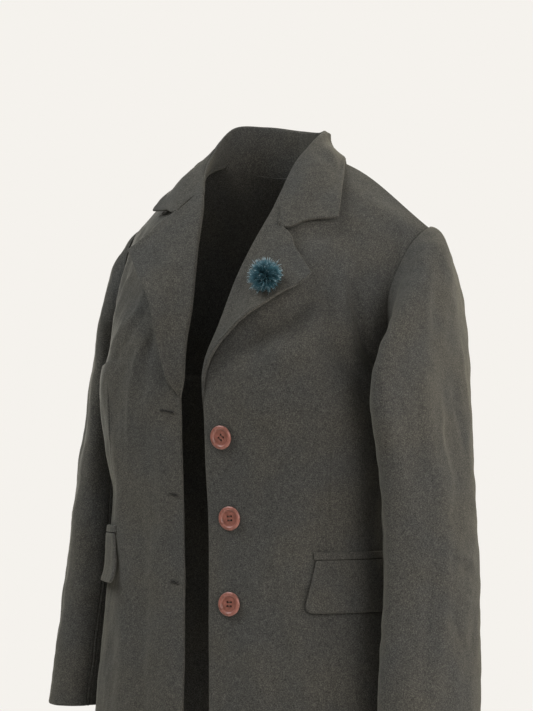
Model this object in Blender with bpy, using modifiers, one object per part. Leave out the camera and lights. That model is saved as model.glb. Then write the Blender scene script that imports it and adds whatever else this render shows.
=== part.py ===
"""Woman's single-breasted wool coat, worn open on a general figure.

Metres, +Z up, the coat faces -Y and its own left side is +X. The origin is midway
between the two side neck points, where the coat rests on the wearer's shoulders.
Every cloth piece is an open surface with a wall of even thickness. The surfaces are
sections worked out from the short tables below: one row for each level of the body,
each station of the collar and lapels, and each ring of the sleeves.
"""

import math

import bmesh
import bpy
import numpy as np
from mathutils import Matrix, Vector

COAT = "wool_coat"

# Cloth walls: body and sleeves are one felted layer, collar and lapels are faced
BODY_WALL = 0.0024
COLLAR_WALL = 0.0028
FLAP_WALL = 0.0024

# Gaps between pieces, measured on the outer faces
SEAM_GAP = 0.0008
LAY_GAP = 0.0008

# The left half hangs this much lower than the middle, the right half as much higher
DROP = 0.013

# Levels along the length, as shares from hem (0) to shoulder seam (1)
UNDERARM = 0.71
GORGE = 0.915
GORGE_GAP = 0.003
YOKE = 0.88

# Half width of each roll where collar and lapels turn over, and how far a lapel runs on
# past the front's edge before it turns
ROLL = 0.0038
RUN_ON = 0.0026
RUN_SHARE = 0.14
ROLL_SHARE = 0.40
FOLD_PLACES = (0.0, 0.07, 0.14, 0.205, 0.27, 0.335, 0.40, 0.50, 0.60, 0.70, 0.85, 1.0)

# Side seam of the left half: level, height, half width, set forward or back, sway of the middle
SIDE_COLUMNS = ("level", "z", "half", "y", "mid")
SIDE_ROWS = [
    (0.00, -0.930, 0.240, 0.028, -0.006),
    (0.18, -0.760, 0.227, 0.028, -0.007),
    (0.31, -0.640, 0.213, 0.027, -0.009),
    (0.42, -0.540, 0.199, 0.024, -0.010),
    (0.55, -0.420, 0.184, 0.020, -0.011),
    (0.635, -0.340, 0.186, 0.014, -0.008),
    (0.71, -0.270, 0.190, 0.008, -0.003),
]

# Armhole edges from the underarm to the shoulder tip
ARMHOLE_COLUMNS = ("level", "x", "y_front", "y_back", "z")
ARMHOLE_ROWS = [
    (0.71, 0.187, 0.008, 0.008, -0.270),
    (0.745, 0.186, -0.024, 0.036, -0.254),
    (0.78, 0.186, -0.050, 0.060, -0.224),
    (0.84, 0.188, -0.062, 0.072, -0.174),
    (0.90, 0.195, -0.045, 0.056, -0.131),
    (0.94, 0.200, -0.029, 0.036, -0.109),
    (0.97, 0.204, -0.014, 0.017, -0.096),
    (1.00, 0.207, 0.000, 0.000, -0.088),
]

# Front edge, roll line and neckline: where it runs on the left and on the right half,
# and how much of the drop it takes
EDGE_COLUMNS = ("level", "z", "y", "x_left", "x_right", "share")
EDGE_ROWS = [
    (0.00, -0.930, -0.172, 0.022, 0.026, 1.0),
    (0.18, -0.760, -0.168, 0.016, 0.023, 1.0),
    (0.31, -0.640, -0.163, 0.0125, 0.0225, 1.0),
    (0.42, -0.540, -0.159, 0.009, 0.0245, 1.0),
    (0.55, -0.420, -0.158, 0.0075, 0.027, 1.0),
    (0.635, -0.335, -0.166, 0.008, 0.0245, 1.0),
    (0.71, -0.262, -0.174, 0.015, 0.020, 1.0),
    (0.78, -0.202, -0.165, 0.036, 0.0165, 1.0),
    (0.84, -0.142, -0.147, 0.0515, 0.0225, 1.0),
    (0.90, -0.085, -0.118, 0.0675, 0.0335, 1.0),
    (0.94, -0.050, -0.086, 0.0725, 0.054, 0.8),
    (0.97, -0.021, -0.044, 0.0755, 0.069, 0.5),
    (1.00, -0.004, 0.000, 0.077, 0.075, 0.3),
]

# Shape of each front section between its edge and the side seam or armhole: how far
# it runs on before it bends at either end, as a share of the straight distance, which
# way it sets off and arrives in plan, in degrees, and how far its middle is lifted
FRONT_COLUMNS = ("level", "reach_in", "lead", "reach_out", "trail", "rise")
FRONT_ROWS = [
    (0.00, 0.49, 0.0, 0.45, 90.0, 0.0),
    (0.31, 0.50, 0.0, 0.46, 90.0, 0.0),
    (0.55, 0.54, 0.0, 0.50, 90.0, 0.0),
    (0.71, 0.54, 4.0, 0.50, 88.0, 0.0),
    (0.78, 0.50, 8.0, 0.46, 68.0, 0.0),
    (0.84, 0.44, 6.0, 0.42, 55.0, 0.0),
    (0.90, 0.38, -4.0, 0.40, 45.0, 0.003),
    (0.94, 0.34, -12.0, 0.36, 36.0, 0.006),
    (0.97, 0.34, -10.0, 0.34, 20.0, 0.008),
    (1.00, 0.34, 0.0, 0.34, 0.0, 0.009),
]

# Back sections from the centre back to the side seam or armhole
BACK_COLUMNS = ("level", "y", "z", "reach_in", "reach_out", "trail")
BACK_ROWS = [
    (0.00, 0.130, -0.930, 0.50, 0.46, 90.0),
    (0.31, 0.122, -0.640, 0.50, 0.46, 90.0),
    (0.42, 0.112, -0.540, 0.50, 0.46, 90.0),
    (0.55, 0.088, -0.420, 0.50, 0.46, 90.0),
    (0.635, 0.094, -0.340, 0.50, 0.46, 90.0),
    (0.71, 0.106, -0.262, 0.50, 0.46, 88.0),
    (0.78, 0.114, -0.200, 0.50, 0.40, 66.0),
    (0.84, 0.112, -0.150, 0.50, 0.38, 54.0),
    (0.90, 0.103, -0.105, 0.48, 0.38, 48.0),
]
NECK_BACK = (0.056, -0.016)
NECK_SHARE = 0.36

# Collar stations from centre back (0) to the gorge (1): the crest of the roll, the
# middle of the fall and its outer edge, for each half where it lies
COLLAR_COLUMNS = ("place", "kx", "ky", "kz", "mx", "my", "mz", "lx", "ly", "lz")
COLLAR_LEFT = [
    (0.00, 0.000, 0.050, 0.041, 0.000, 0.072, 0.018, 0.000, 0.088, -0.024),
    (0.28, 0.039, 0.031, 0.032, 0.043, 0.043, 0.011, 0.052, 0.067, -0.026),
    (0.52, 0.0645, 0.000, 0.026, 0.077, 0.005, 0.007, 0.092, 0.007, -0.009),
    (0.74, 0.0705, -0.040, 0.003, 0.094, -0.040, -0.011, 0.114, -0.040, -0.048),
    (0.90, 0.0675, -0.082, -0.035, 0.091, -0.090, -0.050, 0.127, -0.070, -0.082),
    (1.00, 0.0645, -0.1135, -0.081, 0.0835, -0.1235, -0.1015, 0.135, -0.086, -0.098),
]
COLLAR_RIGHT = [
    (0.00, 0.000, 0.050, 0.041, 0.000, 0.072, 0.018, 0.000, 0.088, -0.024),
    (0.28, 0.042, 0.036, 0.048, 0.052, 0.056, 0.022, 0.060, 0.076, -0.018),
    (0.52, 0.068, 0.003, 0.043, 0.083, 0.012, 0.022, 0.100, 0.016, -0.002),
    (0.74, 0.066, -0.044, 0.004, 0.081, -0.044, -0.003, 0.104, -0.042, -0.028),
    (0.90, 0.049, -0.083, -0.028, 0.073, -0.094, -0.036, 0.110, -0.078, -0.054),
    (1.00, 0.029, -0.107, -0.056, 0.056, -0.128, -0.0735, 0.114, -0.091, -0.0715),
]

# Lapel stations from the break (0) to the gorge (1): level on the front's edge and the
# lapel's outer edge
LAPEL_COLUMNS = ("place", "level", "bx", "by", "bz")
LAPEL_LEFT = [
    (0.00, 0.655, 0.0130, -0.1740, -0.3260),
    (0.22, 0.715, 0.0200, -0.1860, -0.2560),
    (0.38, 0.755, 0.0480, -0.1830, -0.2270),
    (0.55, 0.790, 0.0790, -0.1790, -0.2070),
    (0.72, 0.825, 0.1080, -0.1660, -0.1880),
    (0.87, 0.870, 0.1270, -0.1520, -0.1755),
    (1.00, 0.915, 0.1370, -0.1420, -0.1640),
]
LAPEL_RIGHT = [
    (0.00, 0.650, 0.0250, -0.1745, -0.3060),
    (0.22, 0.705, 0.0330, -0.1890, -0.2620),
    (0.38, 0.755, 0.0440, -0.1920, -0.2160),
    (0.55, 0.795, 0.0560, -0.1860, -0.1840),
    (0.72, 0.830, 0.0730, -0.1760, -0.1620),
    (0.87, 0.870, 0.0920, -0.1640, -0.1390),
    (1.00, 0.915, 0.1040, -0.1580, -0.1240),
]
# Where each lapel's top edge leaves the collar, as it lies
NOTCH_LEFT = (0.0845, -0.1245, -0.1052)
NOTCH_RIGHT = (0.0560, -0.1300, -0.0782)

# Sleeve rings of each side: height, where the middle lies, half lengths along and
# across the flattened tube, and how far its front is turned in, in degrees
SLEEVE_COLUMNS = ("z", "x", "y", "long", "across", "turn")
SLEEVE_LEFT = [
    (-0.300, 0.2240, -0.050, 0.092, 0.032, 2.0),
    (-0.390, 0.2280, -0.046, 0.071, 0.037, 6.0),
    (-0.480, 0.2340, -0.052, 0.066, 0.038, 10.0),
    (-0.580, 0.2400, -0.068, 0.069, 0.037, 13.0),
    (-0.676, 0.2430, -0.079, 0.070, 0.036, 15.0),
]
SLEEVE_RIGHT = [
    (-0.300, 0.2350, 0.004, 0.075, 0.031, 12.0),
    (-0.390, 0.2410, -0.008, 0.067, 0.035, 14.0),
    (-0.480, 0.2470, -0.018, 0.063, 0.037, 15.0),
    (-0.580, 0.2530, -0.030, 0.061, 0.037, 16.0),
    (-0.676, 0.2600, -0.041, 0.060, 0.036, 16.0),
]

# Fullness of each sleeve's cap over the shoulder, by side
CAP_FULLNESS = {1: 1.12, -1: 0.42}

# Soft folds of the fronts: half (0 is both), share and level at both ends, half width
# across and height, where a trough is negative
FOLD_COLUMNS = ("side", "u_start", "level_start", "u_end", "level_end", "width", "height")
FRONT_FOLDS = [
    (0, 0.52, 0.56, 0.52, 0.84, 0.060, 0.0060),
    (1, 0.66, 0.66, 0.60, 0.97, 0.014, -0.0030),
    (1, 0.72, 0.70, 0.68, 0.93, 0.013, 0.0035),
    (1, 0.88, 0.66, 0.76, 0.90, 0.015, -0.0045),
    (-1, 0.82, 0.77, 0.70, 0.93, 0.015, 0.0035),
    (-1, 0.66, 0.62, 0.60, 0.86, 0.016, 0.0030),
    (-1, 0.76, 0.66, 0.66, 0.90, 0.014, -0.0025),
    (0, 0.60, 0.00, 0.58, 0.44, 0.045, 0.0040),
    (0, 0.80, 0.00, 0.74, 0.40, 0.040, -0.0030),
]

# Soft folds of the back
BACK_FOLDS = [
    (0, 0.62, 0.62, 0.72, 0.90, 0.022, -0.0030),
    (0, 0.42, 0.60, 0.48, 0.88, 0.030, 0.0035),
    (0, 0.45, 0.00, 0.42, 0.46, 0.045, 0.0050),
    (0, 0.75, 0.00, 0.70, 0.42, 0.040, -0.0030),
]

# Soft folds of the sleeves: half, turn and height at both ends, half width in degrees
# and height
SLEEVE_FOLD_COLUMNS = ("side", "turn_top", "z_top", "turn_low", "z_low", "width", "height")
SLEEVE_FOLDS = [
    (1, 66.0, -0.235, 44.0, -0.440, 13.0, 0.0035),
    (1, 36.0, -0.225, 22.0, -0.500, 12.0, -0.0035),
    (1, 4.0, -0.240, -2.0, -0.420, 14.0, 0.0030),
    (1, 40.0, -0.430, 24.0, -0.640, 15.0, -0.0030),
    (1, 118.0, -0.260, 100.0, -0.460, 16.0, -0.0030),
    (1, 230.0, -0.240, 210.0, -0.470, 18.0, -0.0040),
    (-1, 60.0, -0.250, 48.0, -0.430, 14.0, 0.0030),
    (-1, 30.0, -0.230, 20.0, -0.520, 13.0, -0.0030),
    (-1, 100.0, -0.250, 90.0, -0.460, 16.0, -0.0030),
    (-1, 235.0, -0.240, 215.0, -0.450, 18.0, -0.0040),
]

# Flap pockets: distance of the top front corner from the middle on each half, height of
# the flap's top, and its own sizes
POCKET_X = {1: 0.129, -1: 0.136}
POCKET_Z = -0.464
FLAP_LENGTH = 0.124
FLAP_HEIGHT = 0.058
FLAP_SLANT = 0.0205
FLAP_LIFT = 0.004
WELT_HEIGHT = 0.008

# Buttons down the left front: height as they lie and distance from the front's edge
BUTTON_COLUMNS = ("z", "from_edge")
BUTTON_ROWS = [
    (-0.341, 0.0245),
    (-0.431, 0.0305),
    (-0.526, 0.0290),
]
BUTTON_RADIUS = 0.0135
BUTTON_THICK = 0.0042
BUTTON_HOLE = 0.0012
BUTTON_HOLE_SPACING = 0.0044
BUTTON_STANDOFF = 0.0008

# Fur pompom on the left lapel: place on it, core and reach of the fur
POMPOM_PLACE = (0.80, 0.77)
POMPOM_CORE = 0.0075
POMPOM_REACH = 0.0205

# How finely each piece is divided
BODY_STEPS_LOW = 15
BODY_STEPS_HIGH = 12
FRONT_STEPS = 18
BACK_STEPS = 24
SLEEVE_STEPS = 15
COLLAR_STEPS = 14
LAPEL_STEPS = 13

WOOL = (0.072, 0.073, 0.060)
HORN = (0.42, 0.22, 0.18)
FUR = (0.045, 0.16, 0.19)


def column(rows, index):
    """One column of a table as an array."""
    return np.array([row[index] for row in rows], dtype=float)


def through(knots, values, where):
    """Smooth curve through a table's rows, read at the places asked for."""
    knots = np.asarray(knots, dtype=float)
    values = np.asarray(values, dtype=float).reshape(len(knots), -1)
    where = np.clip(np.asarray(where, dtype=float), knots[0], knots[-1])
    spans = np.diff(knots)[:, None]
    slopes = np.diff(values, axis=0) / spans
    tangents = np.empty_like(values)
    tangents[0] = slopes[0]
    tangents[-1] = slopes[-1]
    inner = slopes[:-1] * spans[1:] + slopes[1:] * spans[:-1]
    tangents[1:-1] = inner / (spans[:-1] + spans[1:])
    left = np.clip(np.searchsorted(knots, where, side="right") - 1, 0, len(knots) - 2)
    span = spans[left, 0]
    s = ((where - knots[left]) / span)[:, None]
    span = span[:, None]
    start = (1 + 2 * s) * (1 - s) ** 2 * values[left] + s * (1 - s) ** 2 * span * tangents[left]
    end = s * s * (3 - 2 * s) * values[left + 1] + s * s * (s - 1) * span * tangents[left + 1]
    return start + end


def table_at(rows, where):
    """All columns of a table but its first, smoothly between its rows."""
    return through(column(rows, 0), [row[1:] for row in rows], where)


def bezier(a, b, c, d, u):
    """Cubic curves for many sections at once: corners (n, 3), places (m) to (n, m, 3)."""
    u = np.asarray(u, dtype=float)[None, :, None]
    a, b, c, d = (point[:, None, :] for point in (a, b, c, d))
    return a * (1 - u) ** 3 + 3 * b * u * (1 - u) ** 2 + 3 * c * u * u * (1 - u) + d * u ** 3


def unit(vectors):
    """Vectors of length one, along the last axis."""
    size = np.linalg.norm(vectors, axis=-1, keepdims=True)
    return vectors / np.maximum(size, 1e-9)


def bezier_slope(a, b, c, d, u):
    """Directions along cubic curves, as bezier gives their points."""
    u = np.asarray(u, dtype=float)[None, :, None]
    a, b, c, d = (point[:, None, :] for point in (a, b, c, d))
    return (b - a) * (1 - u) ** 2 + 2 * (c - b) * u * (1 - u) + (d - c) * u * u


def folded(points, slopes, side, u, levels, chord, folds, turn):
    """Lift sections out of their plane along the soft folds that cross them."""
    out = np.stack([slopes[..., 1], -slopes[..., 0], np.zeros(slopes.shape[:2])], axis=-1) * turn
    out = unit(out)
    for half, u_start, level_start, u_end, level_end, width, height in folds:
        if half not in (0, side):
            continue
        along = (levels - level_start) / (level_end - level_start)
        middle = u_start + (u_end - u_start) * along
        ends = np.clip(1 - (2 * along - 1) ** 2, 0, None)
        off = (u[None, :] - middle[:, None]) * chord[:, None] / width
        lift = height * ends[:, None] * np.exp(-off ** 2)
        points = points + out * lift[..., None]
    return points


def outer_edge(side, levels, back):
    """Side seam up to the underarm, then the front or back edge of the armhole."""
    levels = np.asarray(levels, dtype=float)
    z, half, y, mid = table_at(SIDE_ROWS, levels).T
    x_arm, y_front, y_back, z_arm = table_at(ARMHOLE_ROWS, levels).T
    high = levels > UNDERARM
    x = np.where(high, x_arm, half + side * mid)
    y = np.where(high, y_back if back else y_front, y)
    z = np.where(high, z_arm, z)
    return np.stack([x, y, z - side * DROP], axis=-1)


def front_edge(side, levels):
    """Front edge, roll line and neckline of one half, on the cloth's outer face."""
    z, y, x_left, x_right, share = table_at(EDGE_ROWS, levels).T
    x = x_left if side > 0 else x_right
    return np.stack([x, y, z - side * DROP * share], axis=-1)


def front_surface(side, u, levels):
    """Outer face of one front, as points[level, u], on the left half's side."""
    levels = np.asarray(levels, dtype=float)
    u = np.asarray(u, dtype=float)
    inner = front_edge(side, levels)
    outer = outer_edge(side, levels, back=False)
    reach_in, lead, reach_out, trail, rise = table_at(FRONT_ROWS, levels).T
    lead = np.radians(lead)
    trail = np.radians(trail)
    chord = np.linalg.norm(outer - inner, axis=-1)
    drop = outer[:, 2] - inner[:, 2]
    go = np.stack([np.cos(lead) * chord, -np.sin(lead) * chord, drop], axis=-1)
    come = np.stack([np.cos(trail) * chord, np.sin(trail) * chord, drop], axis=-1)
    shape = (inner, inner + go * reach_in[:, None], outer - come * reach_out[:, None], outer)
    points = bezier(*shape, u)
    points[..., 2] += rise[:, None] * 4 * u * (1 - u)
    ease = (np.clip(u / 0.06, 0, 1) * np.clip((1 - u) / 0.12, 0, 1))[None, :, None]
    moved = folded(points, bezier_slope(*shape, u), side, u, levels, chord, FRONT_FOLDS, 1.0)
    return points + (moved - points) * ease


def back_section(side, u, levels):
    """Back sections below the yoke, from the centre back (u 0) to the outer edge (u 1)."""
    y, z, reach_in, reach_out, trail = table_at(BACK_ROWS, levels).T
    outer = outer_edge(side, levels, back=True)
    mid = side * table_at(SIDE_ROWS, levels)[:, 3] * (np.asarray(levels) <= UNDERARM)
    inner = np.stack([mid, y, z], axis=-1)
    trail = np.radians(trail)
    chord = np.linalg.norm(outer - inner, axis=-1)
    drop = outer[:, 2] - inner[:, 2]
    flat = np.zeros_like(chord)
    go = np.stack([chord, flat, flat], axis=-1)
    come = np.stack([np.cos(trail) * chord, -np.sin(trail) * chord, drop * 0.6], axis=-1)
    shape = (inner, inner + go * reach_in[:, None], outer - come * reach_out[:, None], outer)
    points = bezier(*shape, u)
    u = np.asarray(u, dtype=float)
    ease = np.clip((1 - u) / 0.12, 0, 1)[None, :, None]
    levels = np.asarray(levels, dtype=float)
    moved = folded(points, bezier_slope(*shape, u), side, u, levels, chord, BACK_FOLDS, -1.0)
    return points + (moved - points) * ease


def back_top(side, u):
    """Neckline from the centre back, then the shoulder seam out to its tip."""
    u = np.asarray(u, dtype=float)
    seam = front_surface(side, np.clip((u - NECK_SHARE) / (1 - NECK_SHARE), 0, 1), [1.0])[0]
    point = front_edge(side, [1.0])[0]
    turn = np.clip(u / NECK_SHARE, 0, 1) * math.pi / 2
    neck = np.stack([
        point[0] * np.sin(turn),
        point[1] + (NECK_BACK[0] - point[1]) * np.cos(turn),
        point[2] + (NECK_BACK[1] - point[2]) * np.cos(turn),
    ], axis=-1)
    return np.where((u < NECK_SHARE)[:, None], neck, seam)


def back_surface(side, u, levels):
    """Outer face of one half of the back, as points[level, u]."""
    levels = np.asarray(levels, dtype=float)
    low = back_section(side, u, np.minimum(levels, YOKE))
    step = 0.004
    start = back_section(side, u, [YOKE - step, YOKE])
    climb = (start[1] - start[0]) / step * (1 - YOKE)
    s = (np.clip(levels - YOKE, 0, None) / (1 - YOKE))[:, None, None]
    high = start[1] + climb * s + (back_top(side, u) - start[1] - climb) * s * s
    edge = outer_edge(side, levels, back=True)[:, None, :]
    brim = (np.asarray(u, dtype=float) ** 6)[None, :, None]
    high = high + (edge - high[:, -1:, :]) * brim
    return np.where(levels[:, None, None] > YOKE, high, low)


def normals_of(points):
    """Unit normals of a grid of points: across the columns, then up the rows."""
    across = np.gradient(points, axis=1)
    along = np.gradient(points, axis=0)
    return unit(np.cross(across, along))


def mirrored(points, side):
    """Points worked out on the left half, put on the half they belong to."""
    return points * np.array([side, 1.0, 1.0])


def material(name, colour, roughness):
    """A plain finish for one kind of piece."""
    made = bpy.data.materials.new(name)
    made.use_nodes = True
    shader = made.node_tree.nodes["Principled BSDF"]
    shader.inputs["Base Color"].default_value = (*colour, 1.0)
    shader.inputs["Roughness"].default_value = roughness
    shader.inputs["Metallic"].default_value = 0.0
    return made


def sheet_object(name, points, wall, colour, flip=False, closed=False, top=None):
    """A wall of cloth behind a grid of points on its outer face.

    The grid may close on itself across its columns. The directions of the wall along
    the top row can be given, so that two pieces meet face to face at a seam.
    """
    rows, columns, _ = points.shape
    wide = np.concatenate([points[:, -1:], points, points[:, :1]], axis=1) if closed else points
    out = normals_of(wide)[:, 1:-1] if closed else normals_of(wide)
    out = -out if flip else out
    if top is not None:
        given = np.isfinite(top[:, 0])
        out[-1, given] = top[given]
    inner = points - out * wall
    corners = np.concatenate([points.reshape(-1, 3), inner.reshape(-1, 3)])
    behind = rows * columns
    spans = columns if closed else columns - 1
    faces = []
    for row in range(rows - 1):
        for start in range(spans):
            end = (start + 1) % columns
            a, b = row * columns + start, row * columns + end
            c, d = b + columns, a + columns
            faces.append([a, b, c, d])
            faces.append([a + behind, d + behind, c + behind, b + behind])
    for start in range(spans):
        end = (start + 1) % columns
        last = (rows - 1) * columns
        faces.append([start, start + behind, end + behind, end])
        faces.append([last + start, last + end, last + end + behind, last + start + behind])
    if not closed:
        for row in range(rows - 1):
            a, d = row * columns, (row + 1) * columns
            faces.append([a, d, d + behind, a + behind])
            b, c = a + columns - 1, d + columns - 1
            faces.append([b, b + behind, c + behind, c])
    if flip:
        faces = [face[::-1] for face in faces]
    mesh = bpy.data.meshes.new(name)
    mesh.from_pydata([tuple(p) for p in corners], [], faces)
    mesh.shade_smooth()
    made = bpy.data.objects.new(name, mesh)
    parts.objects.link(made)
    made.data.materials.append(material(name, colour, 0.9))
    return made


def body_levels():
    """Rows of the body panels: hem to underarm, then underarm to shoulder seam."""
    low = np.linspace(0, UNDERARM, BODY_STEPS_LOW + 1)
    high = np.linspace(UNDERARM, 1, BODY_STEPS_HIGH + 1)
    return np.concatenate([low, high[1:]])


def held_back(points, ends, gap):
    """Draw in the first or last row or column of a grid along the cloth by a gap."""
    for axis, end in ends:
        grid = np.moveaxis(points, axis, 0)
        edge, beside = (0, 1) if end == "first" else (-1, -2)
        grid[edge] += unit(grid[beside] - grid[edge]) * gap
    return points


def shoulder_up(side, share):
    """Direction shared by the walls of front and back along a shoulder seam."""
    below = [0.98, 1.0]
    front = front_surface(side, share, below)
    back = back_surface(side, NECK_SHARE + (1 - NECK_SHARE) * share, below)
    return unit(unit(front[1] - front[0]) + unit(back[1] - back[0]))


def make_front(name, side):
    """One front, from its edge and roll line to the side seam and armhole."""
    u = np.linspace(0, 1, FRONT_STEPS + 1)
    points = front_surface(side, u, body_levels())
    held_back(points, [(1, "last"), (0, "last")], SEAM_GAP / 2)
    top = mirrored(shoulder_up(side, u), side)
    return sheet_object(name, mirrored(points, side), BODY_WALL, WOOL, flip=side < 0, top=top)


def make_back(name):
    """The back, whole, between the side seams, armholes and shoulder seams."""
    half = np.linspace(0, 1, BACK_STEPS // 2 + 1)
    share = np.clip((half - NECK_SHARE) / (1 - NECK_SHARE), 0, 1)
    halves = []
    tops = []
    for side in (-1, 1):
        points = back_surface(side, half, body_levels())
        held_back(points, [(1, "last"), (0, "last")], SEAM_GAP / 2)
        halves.append(mirrored(points, side))
        top = mirrored(shoulder_up(side, share), side)
        top[half < NECK_SHARE] = np.nan
        tops.append(top)
    points = np.concatenate([halves[0][:, :0:-1], halves[1]], axis=1)
    top = np.concatenate([tops[0][:0:-1], tops[1]])
    return sheet_object(name, points, BODY_WALL, WOOL, flip=True, top=top)


def sleeve_rings(side, turns, rows):
    """Sleeve rings below the armhole, as points[ring, turn]."""
    z, x, y, long, across, turn = np.array(rows).T
    turn = np.radians(turn)
    angle = np.radians(turns)[None, :]
    forward = (long[:, None] * np.sin(angle))[..., None]
    outward = (across[:, None] * np.cos(angle))[..., None]
    flat = np.zeros_like(turn)
    along = np.stack([-np.sin(turn), -np.cos(turn), flat], axis=-1)[:, None, :]
    out = np.stack([np.cos(turn), -np.sin(turn), flat], axis=-1)[:, None, :]
    middle = np.stack([x, y, z - side * DROP], axis=-1)[:, None, :]
    return middle + along * forward + out * outward


def sleeve_surface(side, turns, steps):
    """Outer face of a sleeve: its cap from the armhole, then the tube to the cuff."""
    turns = np.asarray(turns, dtype=float)
    share = turns / 180
    front = share <= 1
    level = np.where(front, 1 - (1 - UNDERARM) * share, 1 - (1 - UNDERARM) * (2 - share))
    edge = np.where(
        front[:, None],
        outer_edge(side, level, back=False),
        outer_edge(side, level, back=True),
    )
    angle = np.radians(turns)
    go = unit(np.stack([
        0.80 + 0.16 * np.cos(angle),
        -0.45 * np.sin(angle),
        -0.40 + 0.38 * np.cos(angle),
    ], axis=-1))
    table = SLEEVE_LEFT if side > 0 else SLEEVE_RIGHT
    rings = sleeve_rings(side, turns, table)
    axis = unit(rings[1] - rings[0])
    length = np.linalg.norm(rings[0] - edge, axis=-1)[:, None]
    angle = angle[:, None]
    full = 1 - (1 - CAP_FULLNESS[side]) * (0.5 + 0.5 * np.cos(angle))
    cap_steps = steps // 2
    cap = bezier(
        edge,
        edge + go * length * (full * (0.26 - 0.09 * np.cos(angle) + 0.08 * np.sin(angle))),
        rings[0] - axis * length * (full * (0.40 - 0.12 * np.cos(angle) + 0.14 * np.sin(angle))),
        rings[0],
        np.linspace(0, 1, cap_steps + 1),
    ).transpose(1, 0, 2)
    knots = column(table, 0)
    heights = np.linspace(knots[0], knots[-1], steps - cap_steps + 1)[1:]
    tube = sleeve_rings(side, turns, through(-knots, table, -heights))
    points = np.concatenate([cap, tube])
    out = unit(np.cross(np.roll(points, -1, axis=1) - points, np.gradient(points, axis=0)))
    for half, turn_top, z_top, turn_low, z_low, width, height in SLEEVE_FOLDS:
        if half != side:
            continue
        along = (points[..., 2] + side * DROP - z_top) / (z_low - z_top)
        middle = turn_top + (turn_low - turn_top) * along
        off = (turns[None, :] - middle + 180) % 360 - 180
        ends = np.clip(1 - (2 * along - 1) ** 2, 0, None)
        points = points - out * (height * ends * np.exp(-(off / width) ** 2))[..., None]
    return points


def make_sleeve(name, side):
    """One sleeve, an open tube from the armhole to the cuff."""
    turns = np.arange(2 * BODY_STEPS_HIGH) * 180 / BODY_STEPS_HIGH
    points = sleeve_surface(side, turns, SLEEVE_STEPS)
    held_back(points, [(0, "first")], SEAM_GAP * 1.5)
    return sheet_object(name, mirrored(points, side), BODY_WALL, WOOL, side < 0, closed=True)


def dots(a, b):
    """Products of rows of vectors, kept as a column."""
    return np.sum(a * b, axis=-1, keepdims=True)


def fold_path(start, crest, lean, out, roll, middle, edge, corner, across):
    """Across a collar or lapel: up from its start, over its round roll, and out to the edge.

    The run up takes the shares up to RUN_SHARE, the roll those up to ROLL_SHARE, and the
    middle is passed halfway down the fall, with a bend there where corner is 1.
    """
    centre = crest - lean * roll
    arrive = unit(centre - out * roll - start)
    leave = unit(middle - centre - out * roll)
    first = -np.arctan2(dots(arrive, lean), np.maximum(dots(arrive, out), 0.0))
    last = np.arctan2(-dots(leave, lean), np.maximum(dots(leave, out), 0.0))

    def around(angle):
        return centre + (lean * np.cos(angle) + out * np.sin(angle)) * roll

    low, high = around(first), around(last)
    away = out * np.cos(last) - lean * np.sin(last)
    inner = np.linalg.norm(middle - high, axis=-1, keepdims=True) / 3
    outer = np.linalg.norm(edge - middle, axis=-1, keepdims=True) / 3
    straight = unit(edge - high)
    arriving = unit(straight * (1 - corner) + unit(middle - high) * corner)
    leaving = unit(straight * (1 - corner) + unit(edge - middle) * corner)
    falling = (high, high + away * inner, middle - arriving * inner, middle)
    ending = (middle, middle + leaving * outer, edge - unit(edge - middle) * outer, edge)
    columns = []
    for share in across:
        if share <= RUN_SHARE:
            columns.append(start + (low - start) * share / RUN_SHARE)
        elif share <= ROLL_SHARE:
            t = (share - RUN_SHARE) / (ROLL_SHARE - RUN_SHARE)
            columns.append(around(first + (last - first) * t))
        else:
            t = 2 * (share - ROLL_SHARE) / (1 - ROLL_SHARE)
            columns.append(bezier(*falling, [t])[:, 0] if t <= 1 else bezier(*ending, [t - 1])[:, 0])
    return np.stack(columns, axis=1)


def turned_edge(side, levels, roll):
    """Where a lapel leaves a front's edge and turns: start, crest, and its two directions."""
    levels = np.asarray(levels, dtype=float)
    seam = front_edge(side, levels)
    beside = front_surface(side, [0.0, 0.03], levels)
    along = unit(beside[:, 1] - beside[:, 0])
    up = unit(front_edge(side, levels + 0.004) - front_edge(side, levels - 0.004))
    face = unit(np.cross(along, up))
    gap = SEAM_GAP * (1.2 if side > 0 else 2.0)
    start = seam - face * BODY_WALL - along * gap
    crest = seam + face * (roll - BODY_WALL) - along * (gap + RUN_ON + roll)
    return start, crest, -along, face


def body_face(side):
    """Points and outward directions all over the upper body of one half."""
    levels = np.linspace(0.60, 1.0, 81)
    share = np.linspace(0, 1, 61)
    front = front_surface(side, share, levels)
    back = back_surface(side, share, levels)
    places = np.concatenate([front.reshape(-1, 3), back.reshape(-1, 3)])
    out = np.concatenate([normals_of(front).reshape(-1, 3), -normals_of(back).reshape(-1, 3)])
    return places, out


def cleared(points, side, across, need):
    """Move what falls over the body out from it until its underside is clear."""
    places, out = body_face(side)
    falls = np.asarray(across) > ROLL_SHARE
    for row in points:
        for index in np.nonzero(falls)[0]:
            for _ in range(3):
                away = row[index] - places
                near = np.argmin(np.sum(away ** 2, axis=-1))
                short = need - np.dot(away[near], out[near])
                if short <= 0:
                    break
                row[index] += out[near] * short
    return points


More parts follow.
